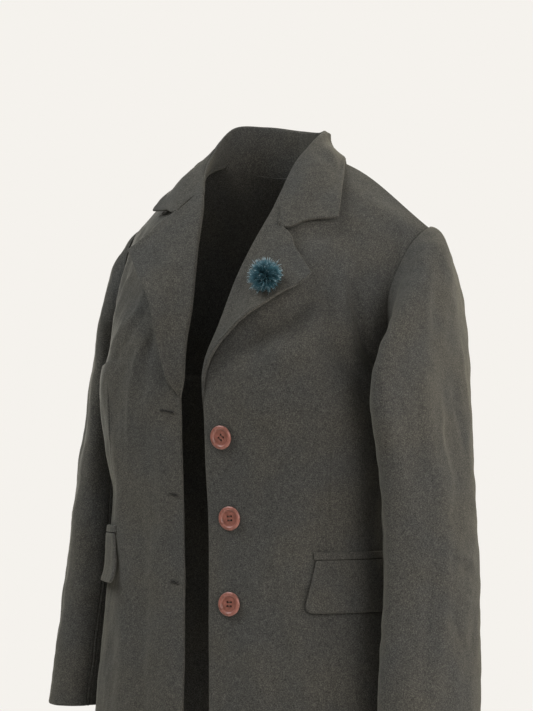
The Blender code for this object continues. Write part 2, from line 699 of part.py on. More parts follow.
def collar_half(side, places, across):
    """Top face of one half of the collar, as points[place, across]."""
    rows = table_at(COLLAR_LEFT if side > 0 else COLLAR_RIGHT, places)
    crest, middle, edge = rows[:, 0:3], rows[:, 3:6], rows[:, 6:9]
    places = np.asarray(places, dtype=float)
    round_back = back_top(side, np.clip(places / 0.52, 0, 1) * NECK_SHARE)
    down_front = front_edge(side, 1 - (1 - GORGE) * np.clip((places - 0.52) / 0.48, 0, 1))
    neck = np.where((places < 0.52)[:, None], round_back, down_front)
    start = neck + unit(crest - neck) * LAY_GAP * 3.5
    lean = unit(2 * crest - start - middle)
    out = middle - start
    level = 1 - (1 - GORGE - GORGE_GAP) * np.clip((places - 0.52) / 0.48, 0, 1)
    front = turned_edge(side, np.minimum(level, 0.99), ROLL)
    share = (np.clip((places - 0.80) / 0.20, 0, 1) ** 2)[:, None]
    start = start * (1 - share) + front[0] * share
    crest = crest * (1 - share) + front[1] * share
    lean = unit(lean * (1 - share) + front[2] * share)
    out = unit(unit(out - lean * dots(out, lean)) * (1 - share) + front[3] * share)
    out = unit(out - lean * dots(out, lean))
    points = fold_path(start, crest, lean, out, ROLL, middle, edge, share, across)
    return cleared(points, side, across, COLLAR_WALL + LAY_GAP * 2.2)


def make_collar(name):
    """The collar, whole: stand, roll and fall, from gorge to gorge."""
    places = np.linspace(0, 1, COLLAR_STEPS + 1)
    across = np.array(FOLD_PLACES)
    right = mirrored(collar_half(-1, places, across), -1)
    left = mirrored(collar_half(1, places, across), 1)
    points = np.concatenate([right[:0:-1], left])
    held_back(points, [(0, "first"), (0, "last")], SEAM_GAP * 1.5)
    return sheet_object(name, points, COLLAR_WALL, WOOL, flip=True)


def lapel_surface(side, places, across):
    """Top face of a lapel, as points[place, across], from the front's edge outwards."""
    rows = table_at(LAPEL_LEFT if side > 0 else LAPEL_RIGHT, places)
    level, edge = rows[:, 0], rows[:, 1:4]
    roll = ROLL * lapel_share(places)[:, None]
    start, crest, lean, out = turned_edge(side, level, roll)
    notch = np.array(NOTCH_LEFT if side > 0 else NOTCH_RIGHT)
    width = np.linalg.norm(edge - start, axis=-1, keepdims=True)
    share = np.clip((np.asarray(places) - 0.72) / 0.28, 0, 1)[:, None] ** 2
    middle = start * 0.55 + edge * 0.45 + out * np.minimum(0.009, 0.12 * width)
    middle = middle * (1 - share) + notch * share
    points = fold_path(start, crest, lean, out, roll, middle, edge, share, across)
    return cleared(points, side, across, COLLAR_WALL + LAY_GAP * 2.2)


def lapel_share(places):
    """How much of its full thickness a lapel has, tapering to its lower end."""
    return 0.45 + 0.55 * np.clip(np.asarray(places, dtype=float) / 0.2, 0, 1)


def make_lapel(name, side):
    """One lapel, from its roll to its outer edge and notch."""
    places = np.linspace(0, 1, LAPEL_STEPS + 1)
    across = np.array(FOLD_PLACES)
    points = lapel_surface(side, places, across)
    held_back(points, [(0, "last")], SEAM_GAP * 1.5)
    wall = COLLAR_WALL * lapel_share(places)[:, None, None]
    return sheet_object(name, mirrored(points, side), wall, WOOL, flip=side < 0)


def on_front(side, x, z):
    """Share and level of the point of a front at a distance from the middle and a height."""
    u, level = 0.3, 0.5
    for _ in range(12):
        step = 1e-4
        near = front_surface(side, [u, u + step], [level, level + step])
        here = near[0, 0]
        slope = np.array([
            [near[0, 1, 0] - here[0], near[1, 0, 0] - here[0]],
            [near[0, 1, 2] - here[2], near[1, 0, 2] - here[2]],
        ]) / step
        miss = np.array([x - here[0], z - here[2]])
        move = np.linalg.solve(slope, miss)
        u = min(max(u + move[0], 0.02), 0.95)
        level = min(max(level + move[1], 0.02), 0.9)
    return u, level


def strip_on_front(side, along, down, height, slant, lift, steps):
    """A strip of cloth that lies on a front, as points[row, column], and its normals."""
    u, level = on_front(side, POCKET_X[side], POCKET_Z - side * DROP)
    fine = np.linspace(u - 0.08, 1.0, 200)
    line = front_surface(side, fine, [level])[0]
    run = np.concatenate([[0], np.cumsum(np.linalg.norm(np.diff(line, axis=0), axis=-1))])
    run -= np.interp(u, fine, run)
    tall = np.linalg.norm(np.diff(front_surface(side, [u], [level - 0.05, level])[:, 0], axis=0))
    per_metre = 0.05 / tall
    rows = []
    for share in np.linspace(0, 1, steps[0] + 1):
        places = np.linspace(along[0] - slant * share, along[1], steps[1] + 1)
        spot = np.interp(places, run, fine)
        row_level = level - (down + height * share) * per_metre
        patch = front_surface(side, spot, [row_level - 1e-3, row_level, row_level + 1e-3])
        face = normals_of(patch)[1]
        ahead = np.linspace(1, 0.3, steps[1] + 1)
        stand = LAY_GAP * 1.5 + FLAP_WALL + lift * ahead * share ** 2
        rows.append(patch[1] + face * stand[:, None])
    return np.stack(rows[::-1])


def make_flap(name, side, lift):
    """A pocket flap lying on a front, its lower edge standing a little off it."""
    points = strip_on_front(
        side, (0.0, FLAP_LENGTH), 0.0, FLAP_HEIGHT, FLAP_SLANT, lift, (4, 14)
    )
    return sheet_object(name, mirrored(points, side), FLAP_WALL, WOOL, flip=side < 0)


def make_welt(name, side):
    """The narrow welt over a flap."""
    points = strip_on_front(
        side, (-0.002, FLAP_LENGTH + 0.002), -WELT_HEIGHT - SEAM_GAP, WELT_HEIGHT, 0.0, 0.0, (1, 14)
    )
    return sheet_object(name, mirrored(points, side), FLAP_WALL, WOOL, flip=side < 0)


def seat(side, u, level):
    """Where a small piece sits on a front, with the cloth's outward direction there."""
    patch = front_surface(side, [u - 1e-3, u, u + 1e-3], [level - 1e-3, level, level + 1e-3])
    return mirrored(patch[1, 1], side), mirrored(normals_of(patch)[1, 1], side)


def button_profile():
    """Half section of a button, from the middle of its back round to its dished face."""
    radius, thick = BUTTON_RADIUS, BUTTON_THICK
    rim = radius - 0.0038
    return [
        (0.0, thick * 0.62),
        (rim - 0.0012, thick * 0.62),
        (rim, thick * 0.86),
        (rim + 0.0014, thick),
        (radius - 0.0010, thick * 0.94),
        (radius, thick * 0.66),
        (radius - 0.0006, thick * 0.30),
        (radius * 0.72, 0.0),
        (0.0, 0.0),
    ]


def make_button(name, z, from_edge):
    """A four-hole button with a raised rim, flat on the left front."""
    edge_x = np.interp(z + DROP, column(EDGE_ROWS, 1), column(EDGE_ROWS, 3))
    u, level = on_front(1, edge_x + from_edge, z)
    place, face = seat(1, u, level)
    face = Vector(face)
    stand = Matrix.Translation(Vector(place) + face * BUTTON_STANDOFF)
    turned = stand @ face.to_track_quat("Z", "Y").to_matrix().to_4x4()
    mesh = bpy.data.meshes.new(name)
    profile = [(x, 0.0, height) for x, height in button_profile()]
    mesh.from_pydata(profile, [(i, i + 1) for i in range(len(profile) - 1)], [])
    made = bpy.data.objects.new(name, mesh)
    parts.objects.link(made)
    made.data.materials.append(material(name, HORN, 0.35))
    made.matrix_world = turned
    screw = made.modifiers.new("turned", "SCREW")
    screw.steps = 24
    screw.render_steps = 24
    screw.use_merge_vertices = True
    screw.merge_threshold = 0.00001
    for count in range(4):
        around = math.radians(49 + 90 * count)
        offset = BUTTON_HOLE_SPACING / math.sqrt(2)
        spot = Vector((offset * math.cos(around), offset * math.sin(around), BUTTON_THICK / 2))
        hole = bpy.data.meshes.new(f"{name}_hole_{count}")
        shape = bmesh.new()
        bmesh.ops.create_cone(
            shape, cap_ends=True, segments=8, radius1=BUTTON_HOLE, radius2=BUTTON_HOLE,
            depth=BUTTON_THICK * 2,
        )
        shape.to_mesh(hole)
        shape.free()
        cutter = bpy.data.objects.new(hole.name, hole)
        cutters.objects.link(cutter)
        cutter.matrix_world = turned @ Matrix.Translation(spot)
        cutter.hide_render = True
        cutter.display_type = "WIRE"
        cut = made.modifiers.new(f"hole_{count}", "BOOLEAN")
        cut.operation = "DIFFERENCE"
        cut.solver = "EXACT"
        cut.object = cutter
    return made


def make_pompom(name):
    """A round fur pompom pinned on the left lapel: locks drawn out of a small core."""
    across, place = POMPOM_PLACE
    patch = lapel_surface(
        1, [place - 0.01, place, place + 0.01], [across - 0.01, across, across + 0.01]
    )
    point = Vector(patch[1, 1])
    face = Vector(normals_of(patch)[1, 1])
    shape = bmesh.new()
    bmesh.ops.create_icosphere(shape, subdivisions=3, radius=POMPOM_CORE)
    centre = face * (POMPOM_CORE + 0.0006)
    drawn = []
    for tuft in list(shape.faces):
        direction = tuft.calc_center_median().normalized()
        if direction.dot(face) > -0.30:
            drawn.append((tuft, direction))
    for count, (tuft, direction) in enumerate(drawn):
        uneven = 0.86 + 0.14 * math.sin(count * 2.4) * math.cos(count * 0.7)
        reach = POMPOM_REACH * uneven
        tip = bmesh.ops.poke(shape, faces=[tuft])["verts"][0]
        tip.co = direction * reach
    lowest = min(v.co.dot(face) for v in shape.verts) + POMPOM_CORE + 0.0006
    if lowest < 0.0006:
        centre += face * (0.0006 - lowest)
    mesh = bpy.data.meshes.new(name)
    shape.to_mesh(mesh)
    shape.free()
    made = bpy.data.objects.new(name, mesh)
    parts.objects.link(made)
    made.data.materials.append(material(name, FUR, 0.8))
    made.location = point + centre
    return made


for old in list(bpy.data.objects):
    bpy.data.objects.remove(old, do_unlink=True)

parts = bpy.data.collections.new(COAT)
cutters = bpy.data.collections.new("cutters")
bpy.context.scene.collection.children.link(parts)
bpy.context.scene.collection.children.link(cutters)

make_back("back")
make_front("front_left", 1)
make_front("front_right", -1)
make_sleeve("sleeve_left", 1)
make_sleeve("sleeve_right", -1)
make_collar("collar")
make_lapel("lapel_left", 1)
make_lapel("lapel_right", -1)
make_flap("flap_left", 1, FLAP_LIFT)
make_flap("flap_right", -1, FLAP_LIFT * 2)
make_welt("welt_left", 1)
make_welt("welt_right", -1)
for number, (height, distance) in enumerate(BUTTON_ROWS, 1):
    make_button(f"button_{number}", height, distance)
make_pompom("pompom")
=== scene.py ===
"""Olive-grey wool coat, worn open: its cloth, fur, buttons and a plain studio.

Metres, +Z up, the coat faces -Y and its own left side is +X. The cloth is laid on the
same sections as the coat's solids, far more finely, with turned edges, seams and folds.
"""

import math

import bmesh
import bpy
import numpy as np
from mathutils import Matrix, Vector
from mathutils.bvhtree import BVHTree


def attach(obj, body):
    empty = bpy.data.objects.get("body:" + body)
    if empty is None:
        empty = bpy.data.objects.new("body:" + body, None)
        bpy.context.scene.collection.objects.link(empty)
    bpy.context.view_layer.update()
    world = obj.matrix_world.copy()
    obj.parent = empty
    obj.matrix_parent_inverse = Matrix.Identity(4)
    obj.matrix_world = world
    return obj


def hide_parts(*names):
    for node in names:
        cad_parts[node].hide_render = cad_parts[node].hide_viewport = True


bl_info = {
    "name": "Wool coat",
    "version": (1, 0, 0),
    "blender": (4, 5, 0),
    "location": "View3D > Sidebar > Coat",
    "description": "Makes an open wool coat with a fur pompom, and the studio round it",
    "category": "Object",
}

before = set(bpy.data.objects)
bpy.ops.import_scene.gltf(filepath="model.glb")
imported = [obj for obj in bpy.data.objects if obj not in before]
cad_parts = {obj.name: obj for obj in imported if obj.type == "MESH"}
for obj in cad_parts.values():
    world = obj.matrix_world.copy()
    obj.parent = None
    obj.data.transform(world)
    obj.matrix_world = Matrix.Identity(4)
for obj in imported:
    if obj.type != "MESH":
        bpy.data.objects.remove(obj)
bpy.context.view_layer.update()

# Cloth walls: one fulled layer, two layers in collar and lapels, turned-in edges
BODY_WALL = 0.0024
EDGE_WALL = 0.0040
COLLAR_WALL = 0.0034
FLAP_WALL = 0.0032
LAY_GAP = 0.0008
SEAM_GAP = 0.0008
SEAM_ROUND = 0.0005

# How much lower the left half hangs than the middle, and levels along the length as
# shares from hem (0) to shoulder seam (1)
DROP = 0.013
UNDERARM = 0.71
GORGE = 0.915
YOKE = 0.88
GORGE_GAP = 0.003

# Rolls of collar and lapels, how far their free edges stand off the coat, and from
# which place to which along each that grows
ROLL = 0.0038
RUN_ON = 0.0026
SPRING = 0.0065
LAPEL_SPRING = (0.25, 0.75)
COLLAR_SPRING = (0.62, 0.95)
RUN_SHARE = 0.14
ROLL_SHARE = 0.40
NOTCH_SHARE = 0.70

# How far up from the break a lapel narrows into the front's edge
TAPER = {1: 0.36, -1: 0.16}

# Side seam: level, height, half width, forward or back, sway of the middle
SIDE_ROWS = [
    (0.00, -0.930, 0.240, 0.028, -0.006),
    (0.18, -0.760, 0.227, 0.028, -0.007),
    (0.31, -0.640, 0.213, 0.027, -0.009),
    (0.42, -0.540, 0.199, 0.024, -0.010),
    (0.55, -0.420, 0.184, 0.020, -0.011),
    (0.635, -0.340, 0.186, 0.014, -0.008),
    (0.71, -0.270, 0.190, 0.008, -0.003),
]

# Armhole: level, x, y of the front's edge, y of the back's edge, height
ARMHOLE_ROWS = [
    (0.71, 0.187, 0.008, 0.008, -0.270),
    (0.745, 0.186, -0.024, 0.036, -0.254),
    (0.78, 0.186, -0.050, 0.060, -0.224),
    (0.84, 0.188, -0.062, 0.072, -0.174),
    (0.90, 0.195, -0.045, 0.056, -0.131),
    (0.94, 0.200, -0.029, 0.036, -0.109),
    (0.97, 0.204, -0.014, 0.017, -0.096),
    (1.00, 0.207, 0.000, 0.000, -0.088),
]

# Front edge and neckline: level, z, y, x on the left, x on the right, share of the drop
EDGE_ROWS = [
    (0.00, -0.930, -0.172, 0.022, 0.026, 1.0),
    (0.18, -0.760, -0.168, 0.016, 0.023, 1.0),
    (0.31, -0.640, -0.163, 0.0125, 0.0225, 1.0),
    (0.42, -0.540, -0.159, 0.009, 0.0245, 1.0),
    (0.55, -0.420, -0.158, 0.0075, 0.027, 1.0),
    (0.635, -0.335, -0.166, 0.008, 0.0245, 1.0),
    (0.71, -0.262, -0.174, 0.015, 0.020, 1.0),
    (0.78, -0.202, -0.165, 0.036, 0.0165, 1.0),
    (0.84, -0.142, -0.147, 0.0515, 0.0225, 1.0),
    (0.90, -0.085, -0.118, 0.0675, 0.0335, 1.0),
    (0.94, -0.050, -0.086, 0.0725, 0.054, 0.8),
    (0.97, -0.021, -0.044, 0.0755, 0.069, 0.5),
    (1.00, -0.004, 0.000, 0.077, 0.075, 0.3),
]

# Front sections: level, reach in, lead, reach out, trail, rise
FRONT_ROWS = [
    (0.00, 0.49, 0.0, 0.45, 90.0, 0.0),
    (0.31, 0.50, 0.0, 0.46, 90.0, 0.0),
    (0.55, 0.54, 0.0, 0.50, 90.0, 0.0),
    (0.71, 0.54, 4.0, 0.50, 88.0, 0.0),
    (0.78, 0.50, 8.0, 0.46, 68.0, 0.0),
    (0.84, 0.44, 6.0, 0.42, 55.0, 0.0),
    (0.90, 0.38, -4.0, 0.40, 45.0, 0.003),
    (0.94, 0.34, -12.0, 0.36, 36.0, 0.006),
    (0.97, 0.34, -10.0, 0.34, 20.0, 0.008),
    (1.00, 0.34, 0.0, 0.34, 0.0, 0.009),
]

# Back sections: level, y, z, reach in, reach out, trail
BACK_ROWS = [
    (0.00, 0.130, -0.930, 0.50, 0.46, 90.0),
    (0.31, 0.122, -0.640, 0.50, 0.46, 90.0),
    (0.42, 0.112, -0.540, 0.50, 0.46, 90.0),
    (0.55, 0.088, -0.420, 0.50, 0.46, 90.0),
    (0.635, 0.094, -0.340, 0.50, 0.46, 90.0),
    (0.71, 0.106, -0.262, 0.50, 0.46, 88.0),
    (0.78, 0.114, -0.200, 0.50, 0.40, 66.0),
    (0.84, 0.112, -0.150, 0.50, 0.38, 54.0),
    (0.90, 0.103, -0.105, 0.48, 0.38, 48.0),
]
NECK_BACK = (0.056, -0.016)
NECK_SHARE = 0.36

# Collar stations from centre back (0) to gorge (1): crest, middle of the fall, edge
COLLAR_LEFT = [
    (0.00, 0.000, 0.050, 0.041, 0.000, 0.072, 0.018, 0.000, 0.088, -0.024),
    (0.28, 0.039, 0.031, 0.032, 0.043, 0.043, 0.011, 0.052, 0.067, -0.026),
    (0.52, 0.0645, 0.000, 0.026, 0.077, 0.005, 0.007, 0.092, 0.007, -0.009),
    (0.74, 0.0705, -0.040, 0.003, 0.094, -0.040, -0.011, 0.114, -0.040, -0.048),
    (0.90, 0.0675, -0.082, -0.035, 0.091, -0.090, -0.050, 0.127, -0.070, -0.082),
    (1.00, 0.0645, -0.1135, -0.081, 0.0835, -0.1235, -0.1015, 0.135, -0.086, -0.098),
]
COLLAR_RIGHT = [
    (0.00, 0.000, 0.050, 0.041, 0.000, 0.072, 0.018, 0.000, 0.088, -0.024),
    (0.28, 0.042, 0.036, 0.048, 0.052, 0.056, 0.022, 0.060, 0.076, -0.018),
    (0.52, 0.068, 0.003, 0.043, 0.083, 0.012, 0.022, 0.100, 0.016, -0.002),
    (0.74, 0.066, -0.044, 0.004, 0.081, -0.044, -0.003, 0.104, -0.042, -0.028),
    (0.90, 0.049, -0.083, -0.028, 0.073, -0.094, -0.036, 0.110, -0.078, -0.054),
    (1.00, 0.029, -0.107, -0.056, 0.056, -0.128, -0.0735, 0.114, -0.091, -0.0715),
]

# Lapel stations from the break (0) to the gorge (1): level, outer edge
LAPEL_LEFT = [
    (0.00, 0.655, 0.0130, -0.1740, -0.3260),
    (0.22, 0.715, 0.0200, -0.1860, -0.2560),
    (0.38, 0.755, 0.0480, -0.1830, -0.2270),
    (0.55, 0.790, 0.0790, -0.1790, -0.2070),
    (0.72, 0.825, 0.1080, -0.1660, -0.1880),
    (0.87, 0.870, 0.1270, -0.1520, -0.1755),
    (1.00, 0.915, 0.1370, -0.1420, -0.1640),
]
LAPEL_RIGHT = [
    (0.00, 0.650, 0.0250, -0.1745, -0.3060),
    (0.22, 0.705, 0.0330, -0.1890, -0.2620),
    (0.38, 0.755, 0.0440, -0.1920, -0.2160),
    (0.55, 0.795, 0.0560, -0.1860, -0.1840),
    (0.72, 0.830, 0.0730, -0.1760, -0.1620),
    (0.87, 0.870, 0.0920, -0.1640, -0.1390),
    (1.00, 0.915, 0.1040, -0.1580, -0.1240),
]
NOTCH_LEFT = (0.0845, -0.1245, -0.1052)
NOTCH_RIGHT = (0.0560, -0.1300, -0.0782)

# Sleeve rings: z, x, y, half length, half width, turn in degrees
SLEEVE_LEFT = [
    (-0.300, 0.2240, -0.050, 0.092, 0.032, 2.0),
    (-0.390, 0.2280, -0.046, 0.071, 0.037, 6.0),
    (-0.480, 0.2340, -0.052, 0.066, 0.038, 10.0),
    (-0.580, 0.2400, -0.068, 0.069, 0.037, 13.0),
    (-0.676, 0.2430, -0.079, 0.070, 0.036, 15.0),
]
SLEEVE_RIGHT = [
    (-0.300, 0.2350, 0.004, 0.075, 0.031, 12.0),
    (-0.390, 0.2410, -0.008, 0.067, 0.035, 14.0),
    (-0.480, 0.2470, -0.018, 0.063, 0.037, 15.0),
    (-0.580, 0.2530, -0.030, 0.061, 0.037, 16.0),
    (-0.676, 0.2600, -0.041, 0.060, 0.036, 16.0),
]
CAP_FULLNESS = {1: 1.12, -1: 0.42}

# Large soft folds: half (0 is both), share and level at both ends, half width, height
FRONT_FOLDS = [
    (0, 0.52, 0.56, 0.52, 0.84, 0.060, 0.0060),
    (1, 0.66, 0.66, 0.60, 0.97, 0.014, -0.0030),
    (1, 0.72, 0.70, 0.68, 0.93, 0.013, 0.0035),
    (1, 0.88, 0.66, 0.76, 0.90, 0.015, -0.0045),
    (-1, 0.82, 0.77, 0.70, 0.93, 0.015, 0.0035),
    (-1, 0.66, 0.62, 0.60, 0.86, 0.016, 0.0030),
    (-1, 0.76, 0.66, 0.66, 0.90, 0.014, -0.0025),
    (0, 0.60, 0.00, 0.58, 0.44, 0.045, 0.0040),
    (0, 0.80, 0.00, 0.74, 0.40, 0.040, -0.0030),
]
BACK_FOLDS = [
    (0, 0.62, 0.62, 0.72, 0.90, 0.022, -0.0030),
    (0, 0.42, 0.60, 0.48, 0.88, 0.030, 0.0035),
    (0, 0.45, 0.00, 0.42, 0.46, 0.045, 0.0050),
    (0, 0.75, 0.00, 0.70, 0.42, 0.040, -0.0030),
]
# Half, turn and height at both ends, half width in degrees, height
SLEEVE_FOLDS = [
    (1, 66.0, -0.235, 44.0, -0.440, 13.0, 0.0035),
    (1, 36.0, -0.225, 22.0, -0.500, 12.0, -0.0035),
    (1, 4.0, -0.240, -2.0, -0.420, 14.0, 0.0030),
    (1, 40.0, -0.430, 24.0, -0.640, 15.0, -0.0030),
    (1, 118.0, -0.260, 100.0, -0.460, 16.0, -0.0030),
    (1, 230.0, -0.240, 210.0, -0.470, 18.0, -0.0040),
    (-1, 60.0, -0.250, 48.0, -0.430, 14.0, 0.0030),
    (-1, 30.0, -0.230, 20.0, -0.520, 13.0, -0.0030),
    (-1, 100.0, -0.250, 90.0, -0.460, 16.0, -0.0030),
    (-1, 235.0, -0.240, 215.0, -0.450, 18.0, -0.0040),
]

# Finer creases: half, half width and height in millimetres (a trough is
# negative), sharpness (1 crisp, 2 round), and the line it follows as (share, level)
FRONT_CREASES = [
    (0, 3.0, 0.45, 1.8, ((0.016, 0.00), (0.014, 0.30), (0.014, 0.64))),
    (0, 4.0, -0.55, 1.8, ((0.050, 0.00), (0.046, 0.30), (0.046, 0.62))),
    (1, 6.0, -5.0, 1.5, (
        (0.728, 0.862), (0.775, 0.846), (0.822, 0.812), (0.842, 0.776), (0.86, 0.735), (0.88, 0.70),
    )),
    (1, 7.0, 2.4, 1.6, ((0.79, 0.862), (0.853, 0.832), (0.885, 0.805), (0.89, 0.77), (0.90, 0.735))),
    (1, 14.0, 2.2, 1.8, ((0.66, 0.85), (0.73, 0.82), (0.77, 0.78), (0.79, 0.74), (0.80, 0.70))),
    (1, 9.0, -2.4, 1.8, (
        (0.56, 0.94), (0.62, 0.92), (0.69, 0.90), (0.78, 0.875), (0.86, 0.855), (0.90, 0.83),
    )),
    (1, 12.0, 2.0, 1.8, ((0.52, 0.965), (0.70, 0.96), (0.82, 0.955), (0.90, 0.945))),
    (1, 18.0, 3.0, 1.8, ((0.20, 0.76), (0.32, 0.75), (0.46, 0.755), (0.58, 0.775))),
    (1, 8.0, -1.3, 1.8, ((0.24, 0.68), (0.233, 0.64), (0.226, 0.60), (0.22, 0.55), (0.215, 0.50))),
    (1, 13.0, -3.0, 1.8, (
        (0.235, 0.50), (0.247, 0.45), (0.247, 0.40), (0.26, 0.33), (0.27, 0.22), (0.28, 0.04),
    )),
    (1, 10.0, 1.6, 1.8, ((0.15, 0.50), (0.156, 0.45), (0.16, 0.40), (0.172, 0.34), (0.19, 0.06))),
    (1, 12.0, 2.4, 1.8, ((0.33, 0.47), (0.344, 0.42), (0.344, 0.33), (0.35, 0.22), (0.36, 0.03))),
    (1, 12.0, -2.4, 1.8, ((0.46, 0.40), (0.483, 0.36), (0.483, 0.33), (0.49, 0.20), (0.50, 0.02))),
    (1, 4.0, -0.7, 1.6, ((0.075, 0.78), (0.05, 0.74), (0.042, 0.70), (0.040, 0.66))),
    (1, 20.0, -8.0, 2.0, (
        (0.50, 0.885), (0.52, 0.852), (0.50, 0.832), (0.41, 0.806), (0.295, 0.789), (0.185, 0.770),
        (0.105, 0.750), (0.045, 0.725),
    )),
    (1, 12.0, -5.5, 2.0, ((0.56, 0.918), (0.40, 0.899), (0.26, 0.891), (0.13, 0.885))),
    (-1, 12.0, -3.5, 2.0, ((0.62, 0.86), (0.40, 0.812), (0.225, 0.77), (0.115, 0.72), (0.06, 0.675))),
    (-1, 8.0, 2.8, 1.6, ((0.25, 0.83), (0.2996, 0.7815), (0.3789, 0.7545), (0.45, 0.73))),
    (-1, 6.0, -1.8, 1.6, ((0.20, 0.80), (0.25, 0.755), (0.31, 0.72), (0.36, 0.69))),
    (-1, 6.0, 2.0, 1.6, (
        (0.155, 0.77), (0.1706, 0.739), (0.183, 0.6923), (0.2252, 0.6415), (0.26, 0.59),
    )),
    (-1, 6.0, -1.8, 1.6, ((0.16, 0.80), (0.14, 0.75), (0.128, 0.71), (0.137, 0.67), (0.15, 0.64))),
    (-1, 14.0, 3.0, 1.8, (
        (0.33, 0.64), (0.34, 0.606), (0.3488, 0.52), (0.3063, 0.4184), (0.2838, 0.3068), (0.27, 0.05),
    )),
    (-1, 14.0, -4.2, 1.8, (
        (0.205, 0.56), (0.1995, 0.52), (0.1739, 0.4184), (0.1608, 0.2967), (0.155, 0.20), (0.15, 0.03),
    )),
    (-1, 9.0, 2.2, 1.8, (
        (0.10, 0.64), (0.0913, 0.601), (0.0793, 0.52), (0.0652, 0.4235), (0.051, 0.3017), (0.05, 0.05),
    )),
    (-1, 2.6, 1.1, 1.6, ((0.20, 0.93), (0.35, 0.915), (0.50, 0.90), (0.66, 0.885))),
    (-1, 2.6, 1.1, 1.6, ((0.20, 0.912), (0.35, 0.897), (0.50, 0.882), (0.66, 0.867))),
    (-1, 2.6, 1.0, 1.6, ((0.20, 0.894), (0.35, 0.879), (0.50, 0.864), (0.66, 0.85))),
    (0, 8.0, -1.8, 1.6, ((0.94, 0.64), (0.90, 0.66), (0.84, 0.68), (0.76, 0.69))),
    (0, 9.0, 1.4, 1.6, ((0.95, 0.60), (0.88, 0.615), (0.80, 0.63))),
]
BACK_CREASES = [
    (0, 12.0, 1.6, 1.7, ((0.20, 0.80), (0.45, 0.815), (0.72, 0.80), (0.90, 0.765))),
    (0, 8.0, -2.5, 1.6, ((0.95, 0.72), (0.87, 0.76), (0.80, 0.82), (0.76, 0.88))),
    (0, 8.0, 2.0, 1.6, ((0.98, 0.74), (0.92, 0.78), (0.86, 0.84), (0.83, 0.89))),
    (1, 7.0, -1.3, 1.6, ((0.12, 0.56), (0.35, 0.55), (0.58, 0.57))),
    (1, 7.0, 1.1, 1.6, ((0.16, 0.585), (0.38, 0.577), (0.60, 0.598))),
    (-1, 7.0, -1.1, 1.6, ((0.18, 0.585), (0.40, 0.572), (0.64, 0.586))),
    (-1, 8.0, 1.2, 1.6, ((0.10, 0.61), (0.32, 0.60), (0.56, 0.62))),
    (1, 12.0, 2.0, 1.8, ((0.28, 0.56), (0.33, 0.45), (0.36, 0.30), (0.37, 0.05))),
    (-1, 13.0, 2.2, 1.8, ((0.25, 0.54), (0.28, 0.42), (0.33, 0.26), (0.33, 0.04))),
    (1, 10.0, -2.2, 1.8, ((0.58, 0.55), (0.60, 0.40), (0.62, 0.20), (0.60, 0.03))),
    (-1, 11.0, -2.4, 1.8, ((0.50, 0.57), (0.54, 0.40), (0.55, 0.22), (0.54, 0.03))),
    (1, 9.0, -1.6, 1.8, ((0.12, 0.42), (0.13, 0.30), (0.15, 0.15), (0.15, 0.03))),
]
